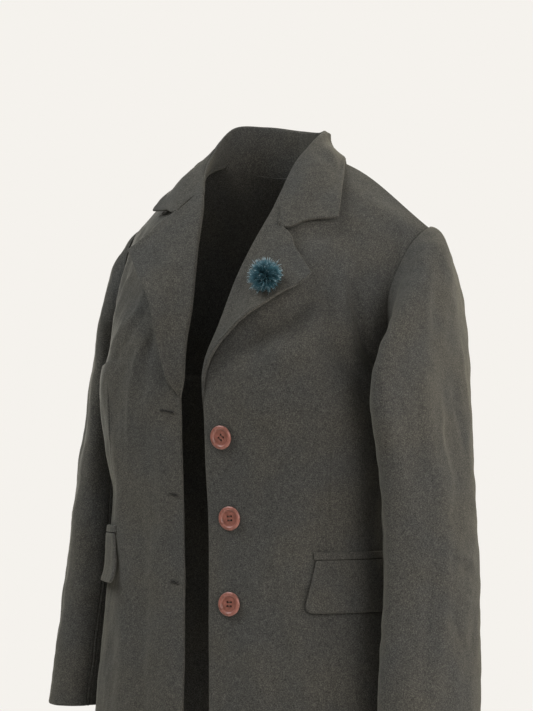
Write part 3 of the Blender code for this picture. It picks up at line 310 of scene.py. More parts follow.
SLEEVE_CREASES = [
    (1, 6.5, 2.8, 1.5, (
        (0.125, 0.25), (0.1157, 0.2935), (0.1157, 0.3225), (0.1157, 0.3732), (0.1065, 0.4384),
        (0.0972, 0.5036), (0.088, 0.5616),
    )),
    (1, 6.0, -2.2, 1.5, (
        (0.04, 0.28), (0.0324, 0.3297), (0.0417, 0.3877), (0.0324, 0.4601), (0.0139, 0.5326),
    )),
    (1, 7.0, 2.4, 1.6, ((0.975, 0.27), (0.9676, 0.3152), (0.9491, 0.3732), (0.9491, 0.4891))),
    (1, 6.0, 2.6, 1.5, (
        (0.085, 0.575), (0.088, 0.5906), (0.1065, 0.6486), (0.1157, 0.692), (0.1157, 0.808), (0.12, 0.90),
    )),
    (1, 5.0, -2.4, 1.5, (
        (0.06, 0.56), (0.0694, 0.5906), (0.0694, 0.6775), (0.0602, 0.7717), (0.06, 0.86),
    )),
    (1, 4.5, -2.2, 1.5, ((0.088, 0.5616), (0.0509, 0.5906), (0.9769, 0.6196), (0.92, 0.63))),
    (1, 4.5, 1.7, 1.5, ((0.08, 0.585), (0.045, 0.612), (0.975, 0.64), (0.92, 0.65))),
    (1, 4.5, -2.0, 1.5, ((0.088, 0.6196), (0.0324, 0.6703), (0.9676, 0.6993), (0.91, 0.71))),
    (1, 5.0, -1.6, 1.5, ((0.088, 0.7138), (0.0509, 0.7717), (0.0231, 0.8152), (0.98, 0.86))),
    (1, 4.5, 1.6, 1.5, ((0.05, 0.70), (0.02, 0.74), (0.985, 0.79), (0.94, 0.83))),
    (1, 6.0, -2.0, 1.6, ((0.965, 0.19), (0.935, 0.26), (0.91, 0.33), (0.90, 0.40))),
    (1, 8.0, 1.6, 1.7, ((0.13, 0.06), (0.17, 0.10), (0.195, 0.17), (0.20, 0.25))),
    (1, 7.0, -1.6, 1.7, ((0.09, 0.10), (0.10, 0.17), (0.095, 0.24))),
    (1, 8.0, -1.8, 1.7, ((0.225, 0.30), (0.245, 0.40), (0.262, 0.50), (0.262, 0.69), (0.262, 0.82))),
    (0, 6.0, -2.3, 1.5, ((0.45, 0.36), (0.56, 0.43), (0.67, 0.46))),
    (0, 6.0, 1.9, 1.5, ((0.46, 0.41), (0.57, 0.48), (0.68, 0.51))),
    (0, 6.0, -1.8, 1.5, ((0.50, 0.55), (0.60, 0.60), (0.71, 0.62))),
    (0, 8.0, 1.6, 1.6, ((0.78, 0.55), (0.77, 0.68), (0.79, 0.84))),
    (-1, 7.0, 2.0, 1.6, ((0.125, 0.26), (0.12, 0.34), (0.11, 0.42), (0.10, 0.52))),
    (-1, 6.0, -1.8, 1.6, ((0.04, 0.30), (0.04, 0.42), (0.02, 0.54))),
    (-1, 5.0, -2.0, 1.5, ((0.09, 0.58), (0.03, 0.60), (0.96, 0.62), (0.91, 0.63))),
    (-1, 5.0, 1.6, 1.5, ((0.09, 0.61), (0.03, 0.63), (0.96, 0.65), (0.91, 0.66))),
    (-1, 6.0, 1.8, 1.6, ((0.10, 0.66), (0.11, 0.78), (0.115, 0.88))),
    (-1, 5.0, -1.8, 1.6, ((0.22, 0.30), (0.24, 0.42), (0.25, 0.55))),
]
COLLAR_CREASES = [
    (0, 9.0, -0.9, 1.8, ((0.55, 0.78), (0.75, 0.76), (0.95, 0.78))),
    (0, 9.0, 0.9, 1.8, ((0.50, 0.90), (0.70, 0.89), (0.90, 0.91))),
    (0, 8.0, 0.8, 1.8, ((0.60, -0.80), (0.75, -0.78), (0.90, -0.80))),
    (0, 12.0, 1.0, 1.8, ((0.62, -0.30), (0.80, -0.10), (0.82, 0.15), (0.64, 0.34))),
]
LAPEL_CREASES = [
    (-1, 9.0, 1.2, 1.8, ((0.55, 0.88), (0.66, 0.66), (0.78, 0.42))),
    (-1, 8.0, -0.9, 1.8, ((0.74, 0.90), (0.82, 0.72), (0.88, 0.50))),
    (1, 9.0, 0.8, 1.8, ((0.55, 0.86), (0.70, 0.68), (0.80, 0.50))),
]

# Darts: half, then (distance from the middle, height) at the top and bottom
DARTS = {1: ((0.1565, -0.299), (0.1411, -0.462)), -1: ((0.1318, -0.2665), (0.1436, -0.389))}

# Pockets
POCKET_X = {1: 0.129, -1: 0.136}
POCKET_Z = -0.464
FLAP_LENGTH = 0.124
FLAP_HEIGHT = 0.058
FLAP_SLANT = 0.0165
FLAP_LIFT = 0.004
FLAP_CORNER = 0.010
WELT_HEIGHT = 0.008

# Buttons: height and distance from the front's edge, and how its holes are turned
BUTTON_ROWS = [
    (-0.341, 0.0245, 2.0),
    (-0.431, 0.0305, 47.0),
    (-0.526, 0.0290, 43.0),
]
BUTTON_RADIUS = 0.0135
BUTTON_THICK = 0.0042
BUTTON_HOLE = 0.0013
BUTTON_HOLE_SPACING = 0.0044
BUTTON_STANDOFF = 0.0008

# Buttonholes of the right front: distance from the middle and height
HOLE_ROWS = [(0.0418, -0.3106), (0.0428, -0.4045), (0.0424, -0.5035)]

POMPOM_PLACE = (0.80, 0.77)
POMPOM_CORE = 0.0075


def column(rows, index):
    """One column of a table as an array."""
    return np.array([row[index] for row in rows], dtype=float)


def through(knots, values, where):
    """Smooth curve through a table's rows, read at the places asked for."""
    knots = np.asarray(knots, dtype=float)
    values = np.asarray(values, dtype=float).reshape(len(knots), -1)
    where = np.clip(np.asarray(where, dtype=float), knots[0], knots[-1])
    spans = np.diff(knots)[:, None]
    slopes = np.diff(values, axis=0) / spans
    tangents = np.empty_like(values)
    tangents[0] = slopes[0]
    tangents[-1] = slopes[-1]
    inner = slopes[:-1] * spans[1:] + slopes[1:] * spans[:-1]
    tangents[1:-1] = inner / (spans[:-1] + spans[1:])
    left = np.clip(np.searchsorted(knots, where, side="right") - 1, 0, len(knots) - 2)
    span = spans[left, 0]
    s = ((where - knots[left]) / span)[:, None]
    span = span[:, None]
    start = (1 + 2 * s) * (1 - s) ** 2 * values[left] + s * (1 - s) ** 2 * span * tangents[left]
    end = s * s * (3 - 2 * s) * values[left + 1] + s * s * (s - 1) * span * tangents[left + 1]
    return start + end


def table_at(rows, where):
    """All columns of a table but its first, smoothly between its rows."""
    return through(column(rows, 0), [row[1:] for row in rows], where)


def bezier(a, b, c, d, u):
    """Cubic curves for many sections at once, read at shares given once or per section."""
    u = np.atleast_2d(np.asarray(u, dtype=float))[..., None]
    a, b, c, d = (point[:, None, :] for point in (a, b, c, d))
    return a * (1 - u) ** 3 + 3 * b * u * (1 - u) ** 2 + 3 * c * u * u * (1 - u) + d * u ** 3


def bezier_slope(a, b, c, d, u):
    """Directions along cubic curves, as bezier gives their points."""
    u = np.atleast_2d(np.asarray(u, dtype=float))[..., None]
    a, b, c, d = (point[:, None, :] for point in (a, b, c, d))
    return (b - a) * (1 - u) ** 2 + 2 * (c - b) * u * (1 - u) + (d - c) * u * u


def unit(vectors):
    """Vectors of length one, along the last axis."""
    size = np.linalg.norm(vectors, axis=-1, keepdims=True)
    return vectors / np.maximum(size, 1e-9)


def dots(a, b):
    """Products of rows of vectors, kept as a column."""
    return np.sum(a * b, axis=-1, keepdims=True)


def normals_of(points):
    """Unit normals of a grid of points: across the columns, then up the rows."""
    return unit(np.cross(np.gradient(points, axis=1), np.gradient(points, axis=0)))


def mirrored(points, side):
    """Points worked out on the left half, put on the half they belong to."""
    return points * np.array([side, 1.0, 1.0])


def folded(points, slopes, side, u, levels, chord, folds, turn):
    """Lift sections out of their plane along the large folds that cross them."""
    out = np.stack([slopes[..., 1], -slopes[..., 0], np.zeros(slopes.shape[:2])], axis=-1) * turn
    out = unit(out)
    for half, u_start, level_start, u_end, level_end, width, height in folds:
        if half not in (0, side):
            continue
        along = (levels - level_start) / (level_end - level_start)
        middle = u_start + (u_end - u_start) * along
        ends = np.clip(1 - (2 * along - 1) ** 2, 0, None)
        off = (u - middle[:, None]) * chord[:, None] / width
        points = points + out * (height * ends[:, None] * np.exp(-off ** 2))[..., None]
    return points


def outer_edge(side, levels, back):
    """Side seam up to the underarm, then the front or back edge of the armhole."""
    levels = np.asarray(levels, dtype=float)
    z, half, y, mid = table_at(SIDE_ROWS, levels).T
    x_arm, y_front, y_back, z_arm = table_at(ARMHOLE_ROWS, levels).T
    high = levels > UNDERARM
    x = np.where(high, x_arm, half + side * mid)
    y = np.where(high, y_back if back else y_front, y)
    z = np.where(high, z_arm, z)
    return np.stack([x, y, z - side * DROP], axis=-1)


def front_edge(side, levels):
    """Front edge, roll line and neckline of one half, on the cloth's outer face."""
    z, y, x_left, x_right, share = table_at(EDGE_ROWS, levels).T
    return np.stack([x_left if side > 0 else x_right, y, z - side * DROP * share], axis=-1)


def front_surface(side, u, levels):
    """Outer face of one front, as points[level, u], on the left half's side."""
    levels = np.asarray(levels, dtype=float)
    u = np.atleast_2d(np.asarray(u, dtype=float))
    inner = front_edge(side, levels)
    outer = outer_edge(side, levels, back=False)
    reach_in, lead, reach_out, trail, rise = table_at(FRONT_ROWS, levels).T
    lead = np.radians(lead)
    trail = np.radians(trail)
    chord = np.linalg.norm(outer - inner, axis=-1)
    drop = outer[:, 2] - inner[:, 2]
    go = np.stack([np.cos(lead) * chord, -np.sin(lead) * chord, drop], axis=-1)
    come = np.stack([np.cos(trail) * chord, np.sin(trail) * chord, drop], axis=-1)
    shape = (inner, inner + go * reach_in[:, None], outer - come * reach_out[:, None], outer)
    points = bezier(*shape, u)
    points[..., 2] += rise[:, None] * 4 * u * (1 - u)
    ease = (np.clip(u / 0.06, 0, 1) * np.clip((1 - u) / 0.12, 0, 1))[..., None]
    moved = folded(points, bezier_slope(*shape, u), side, u, levels, chord, FRONT_FOLDS, 1.0)
    return points + (moved - points) * ease


def back_section(side, u, levels):
    """Back sections below the yoke, from the centre back (u 0) to the outer edge (u 1)."""
    y, z, reach_in, reach_out, trail = table_at(BACK_ROWS, levels).T
    outer = outer_edge(side, levels, back=True)
    levels = np.asarray(levels, dtype=float)
    mid = side * table_at(SIDE_ROWS, levels)[:, 3] * (levels <= UNDERARM)
    inner = np.stack([mid, y, z], axis=-1)
    trail = np.radians(trail)
    chord = np.linalg.norm(outer - inner, axis=-1)
    drop = outer[:, 2] - inner[:, 2]
    flat = np.zeros_like(chord)
    go = np.stack([chord, flat, flat], axis=-1)
    come = np.stack([np.cos(trail) * chord, -np.sin(trail) * chord, drop * 0.6], axis=-1)
    shape = (inner, inner + go * reach_in[:, None], outer - come * reach_out[:, None], outer)
    u = np.atleast_2d(np.asarray(u, dtype=float))
    points = bezier(*shape, u)
    ease = np.clip((1 - u) / 0.12, 0, 1)[..., None]
    moved = folded(points, bezier_slope(*shape, u), side, u, levels, chord, BACK_FOLDS, -1.0)
    return points + (moved - points) * ease


def back_top(side, u):
    """Neckline from the centre back, then the shoulder seam out to its tip."""
    u = np.asarray(u, dtype=float)
    seam = front_surface(side, np.clip((u - NECK_SHARE) / (1 - NECK_SHARE), 0, 1), [1.0])[0]
    point = front_edge(side, [1.0])[0]
    turn = np.clip(u / NECK_SHARE, 0, 1) * math.pi / 2
    neck = np.stack([
        point[0] * np.sin(turn),
        point[1] + (NECK_BACK[0] - point[1]) * np.cos(turn),
        point[2] + (NECK_BACK[1] - point[2]) * np.cos(turn),
    ], axis=-1)
    return np.where((u < NECK_SHARE)[:, None], neck, seam)


def back_surface(side, u, levels):
    """Outer face of one half of the back, as points[level, u]."""
    levels = np.asarray(levels, dtype=float)
    low = back_section(side, u, np.minimum(levels, YOKE))
    step = 0.004
    start = back_section(side, u, [YOKE - step, YOKE])
    climb = (start[1] - start[0]) / step * (1 - YOKE)
    s = (np.clip(levels - YOKE, 0, None) / (1 - YOKE))[:, None, None]
    high = start[1] + climb * s + (back_top(side, u) - start[1] - climb) * s * s
    edge = outer_edge(side, levels, back=True)[:, None, :]
    brim = (np.asarray(u, dtype=float) ** 6)[None, :, None]
    high = high + (edge - high[:, -1:, :]) * brim
    return np.where(levels[:, None, None] > YOKE, high, low)


def shoulder_up(side, share):
    """Direction shared by the walls of front and back along a shoulder seam."""
    below = [0.98, 1.0]
    front = front_surface(side, share, below)
    back = back_surface(side, NECK_SHARE + (1 - NECK_SHARE) * share, below)
    return unit(unit(front[1] - front[0]) + unit(back[1] - back[0]))


def sleeve_rings(side, turns, rows):
    """Sleeve rings below the armhole, as points[ring, turn]."""
    z, x, y, long, across, turn = np.array(rows).T
    turn = np.radians(turn)
    angle = np.radians(turns)[None, :]
    forward = (long[:, None] * np.sin(angle))[..., None]
    outward = (across[:, None] * np.cos(angle))[..., None]
    flat = np.zeros_like(turn)
    along = np.stack([-np.sin(turn), -np.cos(turn), flat], axis=-1)[:, None, :]
    out = np.stack([np.cos(turn), -np.sin(turn), flat], axis=-1)[:, None, :]
    middle = np.stack([x, y, z - side * DROP], axis=-1)[:, None, :]
    return middle + along * forward + out * outward


def sleeve_surface(side, turns, cap_steps, tube_steps):
    """Outer face of a sleeve: its cap from the armhole, then the tube to the cuff."""
    turns = np.asarray(turns, dtype=float)
    share = turns / 180
    front = share <= 1
    level = np.where(front, 1 - (1 - UNDERARM) * share, 1 - (1 - UNDERARM) * (2 - share))
    fore, aft = outer_edge(side, level, back=False), outer_edge(side, level, back=True)
    edge = np.where(front[:, None], fore, aft)
    angle = np.radians(turns)
    go = unit(np.stack([
        0.80 + 0.16 * np.cos(angle),
        -0.45 * np.sin(angle),
        -0.40 + 0.38 * np.cos(angle),
    ], axis=-1))
    table = SLEEVE_LEFT if side > 0 else SLEEVE_RIGHT
    rings = sleeve_rings(side, turns, table)
    axis = unit(rings[1] - rings[0])
    length = np.linalg.norm(rings[0] - edge, axis=-1)[:, None]
    angle = angle[:, None]
    full = 1 - (1 - CAP_FULLNESS[side]) * (0.5 + 0.5 * np.cos(angle))
    cap = bezier(
        edge,
        edge + go * length * (full * (0.26 - 0.09 * np.cos(angle) + 0.08 * np.sin(angle))),
        rings[0] - axis * length * (full * (0.40 - 0.12 * np.cos(angle) + 0.14 * np.sin(angle))),
        rings[0],
        np.linspace(0, 1, cap_steps + 1),
    ).transpose(1, 0, 2)
    knots = column(table, 0)
    heights = np.linspace(knots[0], knots[-1], tube_steps + 1)[1:]
    tube = sleeve_rings(side, turns, through(-knots, table, -heights))
    points = np.concatenate([cap, tube])
    out = unit(np.cross(np.roll(points, -1, axis=1) - points, np.gradient(points, axis=0)))
    for half, turn_top, z_top, turn_low, z_low, width, height in SLEEVE_FOLDS:
        if half != side:
            continue
        along = (points[..., 2] + side * DROP - z_top) / (z_low - z_top)
        middle = turn_top + (turn_low - turn_top) * along
        off = (turns[None, :] - middle + 180) % 360 - 180
        ends = np.clip(1 - (2 * along - 1) ** 2, 0, None)
        points = points - out * (height * ends * np.exp(-(off / width) ** 2))[..., None]
    return points


def fold_path(start, crest, lean, out, roll, middle, edge, corner, across):
    """Across a collar or lapel: up from its start, over its round roll, out to the edge."""
    centre = crest - lean * roll
    arrive = unit(centre - out * roll - start)
    leave = unit(middle - centre - out * roll)
    first = -np.arctan2(dots(arrive, lean), np.maximum(dots(arrive, out), 0.0))
    last = np.arctan2(-dots(leave, lean), np.maximum(dots(leave, out), 0.0))

    def around(angle):
        return centre + (lean * np.cos(angle) + out * np.sin(angle)) * roll

    low, high = around(first), around(last)
    away = out * np.cos(last) - lean * np.sin(last)
    inner = np.linalg.norm(middle - high, axis=-1, keepdims=True) / 3
    outer = np.linalg.norm(edge - middle, axis=-1, keepdims=True) / 3
    straight = unit(edge - high)
    arriving = unit(straight * (1 - corner) + unit(middle - high) * corner)
    leaving = unit(straight * (1 - corner) + unit(edge - middle) * corner)
    falling = (high, high + away * inner, middle - arriving * inner, middle)
    ending = (middle, middle + leaving * outer, edge - unit(edge - middle) * outer, edge)
    columns = []
    for share in across:
        if share <= RUN_SHARE:
            columns.append(start + (low - start) * share / RUN_SHARE)
        elif share <= ROLL_SHARE:
            t = (share - RUN_SHARE) / (ROLL_SHARE - RUN_SHARE)
            columns.append(around(first + (last - first) * t))
        else:
            t = 2 * (share - ROLL_SHARE) / (1 - ROLL_SHARE)
            columns.append(bezier(*falling, [t])[:, 0] if t <= 1 else bezier(*ending, [t - 1])[:, 0])
    return np.stack(columns, axis=1)


def turned_edge(side, levels, roll, gap):
    """Where a lapel leaves a front's edge and turns: start, crest, and its two directions."""
    levels = np.asarray(levels, dtype=float)
    seam = front_edge(side, levels)
    beside = front_surface(side, [0.0, 0.03], levels)
    along = unit(beside[:, 1] - beside[:, 0])
    up = unit(front_edge(side, levels + 0.004) - front_edge(side, levels - 0.004))
    face = unit(np.cross(along, up))
    start = seam - face * BODY_WALL
    crest = seam + face * (roll - BODY_WALL) - along * (gap + RUN_ON + roll)
    return start, crest, -along, face


def seam_gap(side):
    """Gap of the solids between a front's edge and its lapel, which the cloth closes."""
    return SEAM_GAP * (1.2 if side > 0 else 2.0)


BODY_FACES = {}


def body_face(side):
    """Tree of the faces of the upper body of one half, each facing outwards."""
    if side not in BODY_FACES:
        levels = np.linspace(0.60, 1.0, 121)
        share = np.linspace(0, 1, 91)
        index = np.arange(levels.size * share.size).reshape(levels.size, share.size)
        quads = np.stack([index[:-1, :-1], index[:-1, 1:], index[1:, 1:], index[1:, :-1]], axis=-1)
        quads = quads.reshape(-1, 4)
        front = front_surface(side, share, levels).reshape(-1, 3)
        back = back_surface(side, share, levels).reshape(-1, 3)
        places = np.concatenate([front, back]).tolist()
        faces = np.concatenate([quads, quads[:, ::-1] + len(front)]).tolist()
        BODY_FACES[side] = BVHTree.FromPolygons(places, faces)
    return BODY_FACES[side]


def spread(grid):
    """Blur values over a grid, so that neighbours move together."""
    for axis in (0, 1):
        last = grid.shape[axis] - 1
        if last < 2:
            continue
        for _ in range(3):
            before = np.concatenate([grid.take([0], axis), grid.take(range(last), axis)], axis)
            after = np.concatenate([grid.take(range(1, last + 1), axis), grid.take([-1], axis)], axis)
            grid = (before + 2 * grid + after) / 4
    return grid


def cleared(points, side, across, need):
    """Move what falls over the body out from it until its underside is clear."""
    tree = body_face(side)
    moved = points.copy()
    for row in moved:
        for index in np.nonzero(np.asarray(across) > ROLL_SHARE)[0]:
            for _ in range(3):
                near, out, _, _ = tree.find_nearest(row[index].tolist())
                short = need - np.dot(row[index] - near, out)
                if short <= 0:
                    break
                row[index] += np.array(out) * short
    return points + spread(moved - points)


def collar_half(side, places, across):
    """Top face of one half of the collar, as points[place, across]."""
    rows = table_at(COLLAR_LEFT if side > 0 else COLLAR_RIGHT, places)
    crest, middle, edge = rows[:, 0:3], rows[:, 3:6], rows[:, 6:9]
    places = np.asarray(places, dtype=float)
    round_back = back_top(side, np.clip(places / 0.52, 0, 1) * NECK_SHARE)
    down_front = front_edge(side, 1 - (1 - GORGE) * np.clip((places - 0.52) / 0.48, 0, 1))
    neck = np.where((places < 0.52)[:, None], round_back, down_front)
    start = neck - unit(crest - neck) * LAY_GAP
    lean = unit(2 * crest - neck - middle)
    out = middle - neck
    level = 1 - (1 - GORGE - GORGE_GAP) * np.clip((places - 0.52) / 0.48, 0, 1)
    front = turned_edge(side, np.minimum(level, 0.99), ROLL, seam_gap(side))
    share = (np.clip((places - 0.80) / 0.20, 0, 1) ** 2)[:, None]
    start = start * (1 - share) + front[0] * share
    crest = crest * (1 - share) + front[1] * share
    lean = unit(lean * (1 - share) + front[2] * share)
    out = unit(unit(out - lean * dots(out, lean)) * (1 - share) + front[3] * share)
    out = unit(out - lean * dots(out, lean))
    points = fold_path(start, crest, lean, out, ROLL, middle, edge, share, across)
    return cleared(points, side, across, COLLAR_WALL + LAY_GAP * 1.4)


def lapel_share(places):
    """How much of its full thickness a lapel has, tapering to its lower end."""
    return 0.45 + 0.55 * np.clip(np.asarray(places, dtype=float) / 0.2, 0, 1)


def lapel_surface(side, places, across):
    """Top face of a lapel, as points[place, across], from the front's edge outwards."""
    rows = table_at(LAPEL_LEFT if side > 0 else LAPEL_RIGHT, places)
    level, edge = rows[:, 0], rows[:, 1:4]
    roll = ROLL * lapel_share(places)[:, None]
    start, crest, lean, out = turned_edge(side, level, roll, seam_gap(side))
    notch = np.array(NOTCH_LEFT if side > 0 else NOTCH_RIGHT)
    width = np.linalg.norm(edge - start, axis=-1, keepdims=True)
    share = np.clip((np.asarray(places) - 0.72) / 0.28, 0, 1)[:, None] ** 2
    middle = start * 0.55 + edge * 0.45 + out * np.minimum(0.009, 0.12 * width)
    middle = middle * (1 - share) + notch * share
    points = fold_path(start, crest, lean, out, roll, middle, edge, share, across)
    points = cleared(points, side, across, COLLAR_WALL + LAY_GAP * 1.4)
    core = front_edge(side, level) - out * BODY_WALL * 0.45
    return core[:, None] + (points - core[:, None]) * narrowed(side, places)[:, None, None]


def narrowed(side, places):
    """How much of its width a lapel has near the break, where it runs into the edge."""
    share = np.clip(np.asarray(places, dtype=float) / TAPER[side], 0.02, 1)
    return share * share * (3 - 2 * share)


def gorge_closed(points, side, places, across):
    """Bring the gorge ends of collar and lapel together, as far as the notch."""
    both = (collar_half(side, [1.0], across)[0] + lapel_surface(side, [1.0], across)[0]) / 2
    shift = both - points[-1]
    share = 1 - np.clip((np.asarray(across) - NOTCH_SHARE) / 0.12, 0, 1)
    near = np.clip((np.asarray(places) - 0.84) / 0.16, 0, 1)
    near = near * near * (3 - 2 * near)
    return points + (shift * (share * share * (3 - 2 * share))[:, None])[None] * near[:, None, None]


def sprung(points, out, places, across, first, last):
    """Stand the free edge of collar or lapel off the coat, more towards the notch."""
    near = np.clip((np.asarray(places) - first) / (last - first), 0, 1)
    free = np.clip((np.asarray(across) - 0.5) / 0.5, 0, 1) ** 1.5
    lift = SPRING * (near * near * (3 - 2 * near))[:, None] * free[None]
    return points + out * lift[..., None]


def on_front(side, x, z):
    """Share and level of the point of a front at a distance from the middle and a height."""
    u, level = 0.3, 0.5
    for _ in range(12):
        step = 1e-4
        near = front_surface(side, [u, u + step], [level, level + step])
        here = near[0, 0]
        slope = np.array([
            [near[0, 1, 0] - here[0], near[1, 0, 0] - here[0]],
            [near[0, 1, 2] - here[2], near[1, 0, 2] - here[2]],
        ]) / step
        move = np.linalg.solve(slope, np.array([x - here[0], z - here[2]]))
        u = min(max(u + move[0], 0.02), 0.95)
        level = min(max(level + move[1], 0.02), 0.9)
    return u, level


def nearest_spots(points, shares, levels, line, scale):
    """Points in space of spots given as (share, level), and a smooth line through them."""
    spots = []
    for share, level in line:
        off = ((shares - share) * scale[0]) ** 2 + ((levels - level) * scale[1]) ** 2
        spots.append(points.reshape(-1, 3)[np.argmin(off)])
    knots = np.arange(len(spots))
    return through(knots, spots, np.linspace(0, len(spots) - 1, 10 * (len(spots) - 1) + 1))


def crease_lines(points, shares, levels, side, table, scale):
    """Creases of one piece as lines in space with their widths and heights in metres."""
    lines = []
    for half, width, height, sharp, line in table:
        if half in (0, side):
            path = nearest_spots(points, shares, levels, line, scale)
            lines.append((path, width / 1000, height / 1000, sharp))
    return lines


def crease_lift(points, lines):
    """How far each point is lifted by the creases that pass it."""
    shape = points.shape[:-1]
    flat = points.reshape(-1, 3)
    lift = np.zeros(len(flat))
    for path, width, height, sharp in lines:
        away = np.full(len(flat), 1.0)
        along = np.zeros(len(flat))
        spans = len(path) - 1
        for index in range(spans):
            start, step = path[index], path[index + 1] - path[index]
            t = np.clip((flat - start) @ step / max(step @ step, 1e-12), 0, 1)
            off = np.linalg.norm(flat - start - t[:, None] * step, axis=1)
            closer = off < away
            away[closer] = off[closer]
            along[closer] = (index + t[closer]) / spans
        ends = np.clip(along / 0.3, 0, 1) * np.clip((1 - along) / 0.3, 0, 1)
        ends = ends * ends * (3 - 2 * ends)
        lift += height * ends * np.exp(-(away / width) ** sharp)
    return lift.reshape(shape)


def unevenness(points, seed):
    """Small soft unevenness that no pressing takes out of worn wool, in metres."""
    chance = np.random.default_rng(seed)
    lift = np.zeros(points.shape[:-1])
    for size, height, count in ((0.075, 0.00040, 7), (0.028, 0.00016, 9), (0.012, 0.00006, 9)):
        for _ in range(count):
            way = unit(chance.normal(size=3) * np.array([1.0, 1.0, 0.55]))
            lift += height * np.sin(points @ way * 2 * math.pi / size + chance.uniform(0, 6.3))
    return lift


def rim_added(grid, axis, end, radius):
    """Rows added next to one edge of a grid so that the wall can be rounded over there."""
    grid = np.moveaxis(grid, axis, 0)
    first, second = (grid[0], grid[1]) if end == "first" else (grid[-1], grid[-2])
    wall = first[..., 6:7]
    radius = np.reshape(0.0 if radius is None else radius, (-1, 1))
    radius = np.where(radius > 0, np.minimum(radius, wall * 0.46), wall * 0.46)
    run = np.linalg.norm(second[..., :3] - first[..., :3], axis=-1, keepdims=True)
    rows = [first.copy()]
    rows[0][..., 7:8] = wall / 2
    for angle in np.radians([0, 22, 45, 67, 90]):
        share = np.minimum(radius * (1 - math.cos(angle)) / np.maximum(run, 1e-6), 0.97)
        row = first + (second - first) * share
        row[..., 7:8] = np.maximum(row[..., 7:8], radius * (1 - math.sin(angle)))
        rows.append(row)
    if end == "first":
        grid = np.concatenate([np.stack(rows), grid[1:]])
    else:
        grid = np.concatenate([grid[:-1], np.stack(rows[::-1])])
    return np.moveaxis(grid, 0, axis)


def cloth_piece(name, points, out, wall, finish, shares, levels, closed=False, flip=False, sewn=()):
    """A sheet of cloth of real thickness with rounded edges, from a grid on its face.

    sewn gives the radius of its edges at (first row, last row, first column, last column)
    where they are seams; the others are rounded right over.
    """
    sewn = dict(sewn)
    wall = np.broadcast_to(np.asarray(wall, dtype=float), points.shape[:2])[..., None]
    nothing = np.zeros_like(wall)
    grid = np.concatenate([points, out, wall, nothing, shares[..., None], levels[..., None]], axis=-1)
    columns = grid.shape[1]
    for end in ("first", "last"):
        radius = sewn.get(f"{end} row")
        grid = rim_added(grid, 0, end, radius if radius is None else np.broadcast_to(radius, columns))
    for end in ("first", "last"):
        if not closed:
            grid = rim_added(grid, 1, end, sewn.get(f"{end} column"))
    place, out, wall, depth = grid[..., :3], unit(grid[..., 3:6]), grid[..., 6:7], grid[..., 7:8]
    front = place - out * depth
    behind = place - out * (wall - depth)
    rows, columns = place.shape[:2]
    index = np.arange(rows * columns).reshape(rows, columns)
    inside = index + rows * columns
    inside[0], inside[-1] = index[0], index[-1]
    if not closed:
        inside[:, 0], inside[:, -1] = index[:, 0], index[:, -1]
    ahead = np.roll(index, -1, axis=1) if closed else index[:, 1:]
    ahead_in = np.roll(inside, -1, axis=1) if closed else inside[:, 1:]
    here, here_in = (index, inside) if closed else (index[:, :-1], inside[:, :-1])
    faces = np.stack([here[:-1], ahead[:-1], ahead[1:], here[1:]], axis=-1).reshape(-1, 4)
    backs = np.stack([here_in[:-1], here_in[1:], ahead_in[1:], ahead_in[:-1]], axis=-1)
    faces = np.concatenate([faces, backs.reshape(-1, 4)])
    if flip:
        faces = faces[:, ::-1]
    used, numbers = np.unique(faces, return_inverse=True)
    corners = np.concatenate([front.reshape(-1, 3), behind.reshape(-1, 3)])[used]
    faces = numbers.reshape(-1, 4)
    mesh = bpy.data.meshes.new(name)
    mesh.from_pydata(corners.tolist(), [], faces.tolist())
    spots = np.tile(grid[..., 8:10].reshape(-1, 2), (2, 1))[used]
    mesh.uv_layers.new(name="share_and_level").data.foreach_set("uv", spots[faces].ravel())
    mesh.shade_smooth()
    made = bpy.data.objects.new(name, mesh)
    bpy.context.scene.collection.objects.link(made)
    mesh.materials.append(finish)
    return made


def grid_of(shares, levels):
    """Shares and levels of each point of a grid."""
    levels = np.asarray(levels, dtype=float)
    shares = np.broadcast_to(np.atleast_2d(shares), (len(levels), np.shape(shares)[-1]))
    return shares, np.broadcast_to(levels[:, None], shares.shape)


def dart_line(side):
    """Share of a front's dart at its top and bottom, with the levels of both."""
    (x_top, z_top), (x_low, z_low) = DARTS[side]
    return on_front(side, x_top, z_top), on_front(side, x_low, z_low)


def dart_share(side, levels):
    """Share at which the dart runs at each level, straight on beyond its ends."""
    (u_top, top), (u_low, low) = dart_line(side)
    return np.interp(levels, [low, top], [u_low, u_top])


def body_levels():
    """Rows of the body panels, finer where the chest folds lie."""
    return np.concatenate([np.linspace(0, UNDERARM, 141), np.linspace(UNDERARM, 1, 76)[1:]])


FRONT_SHEETS = {}


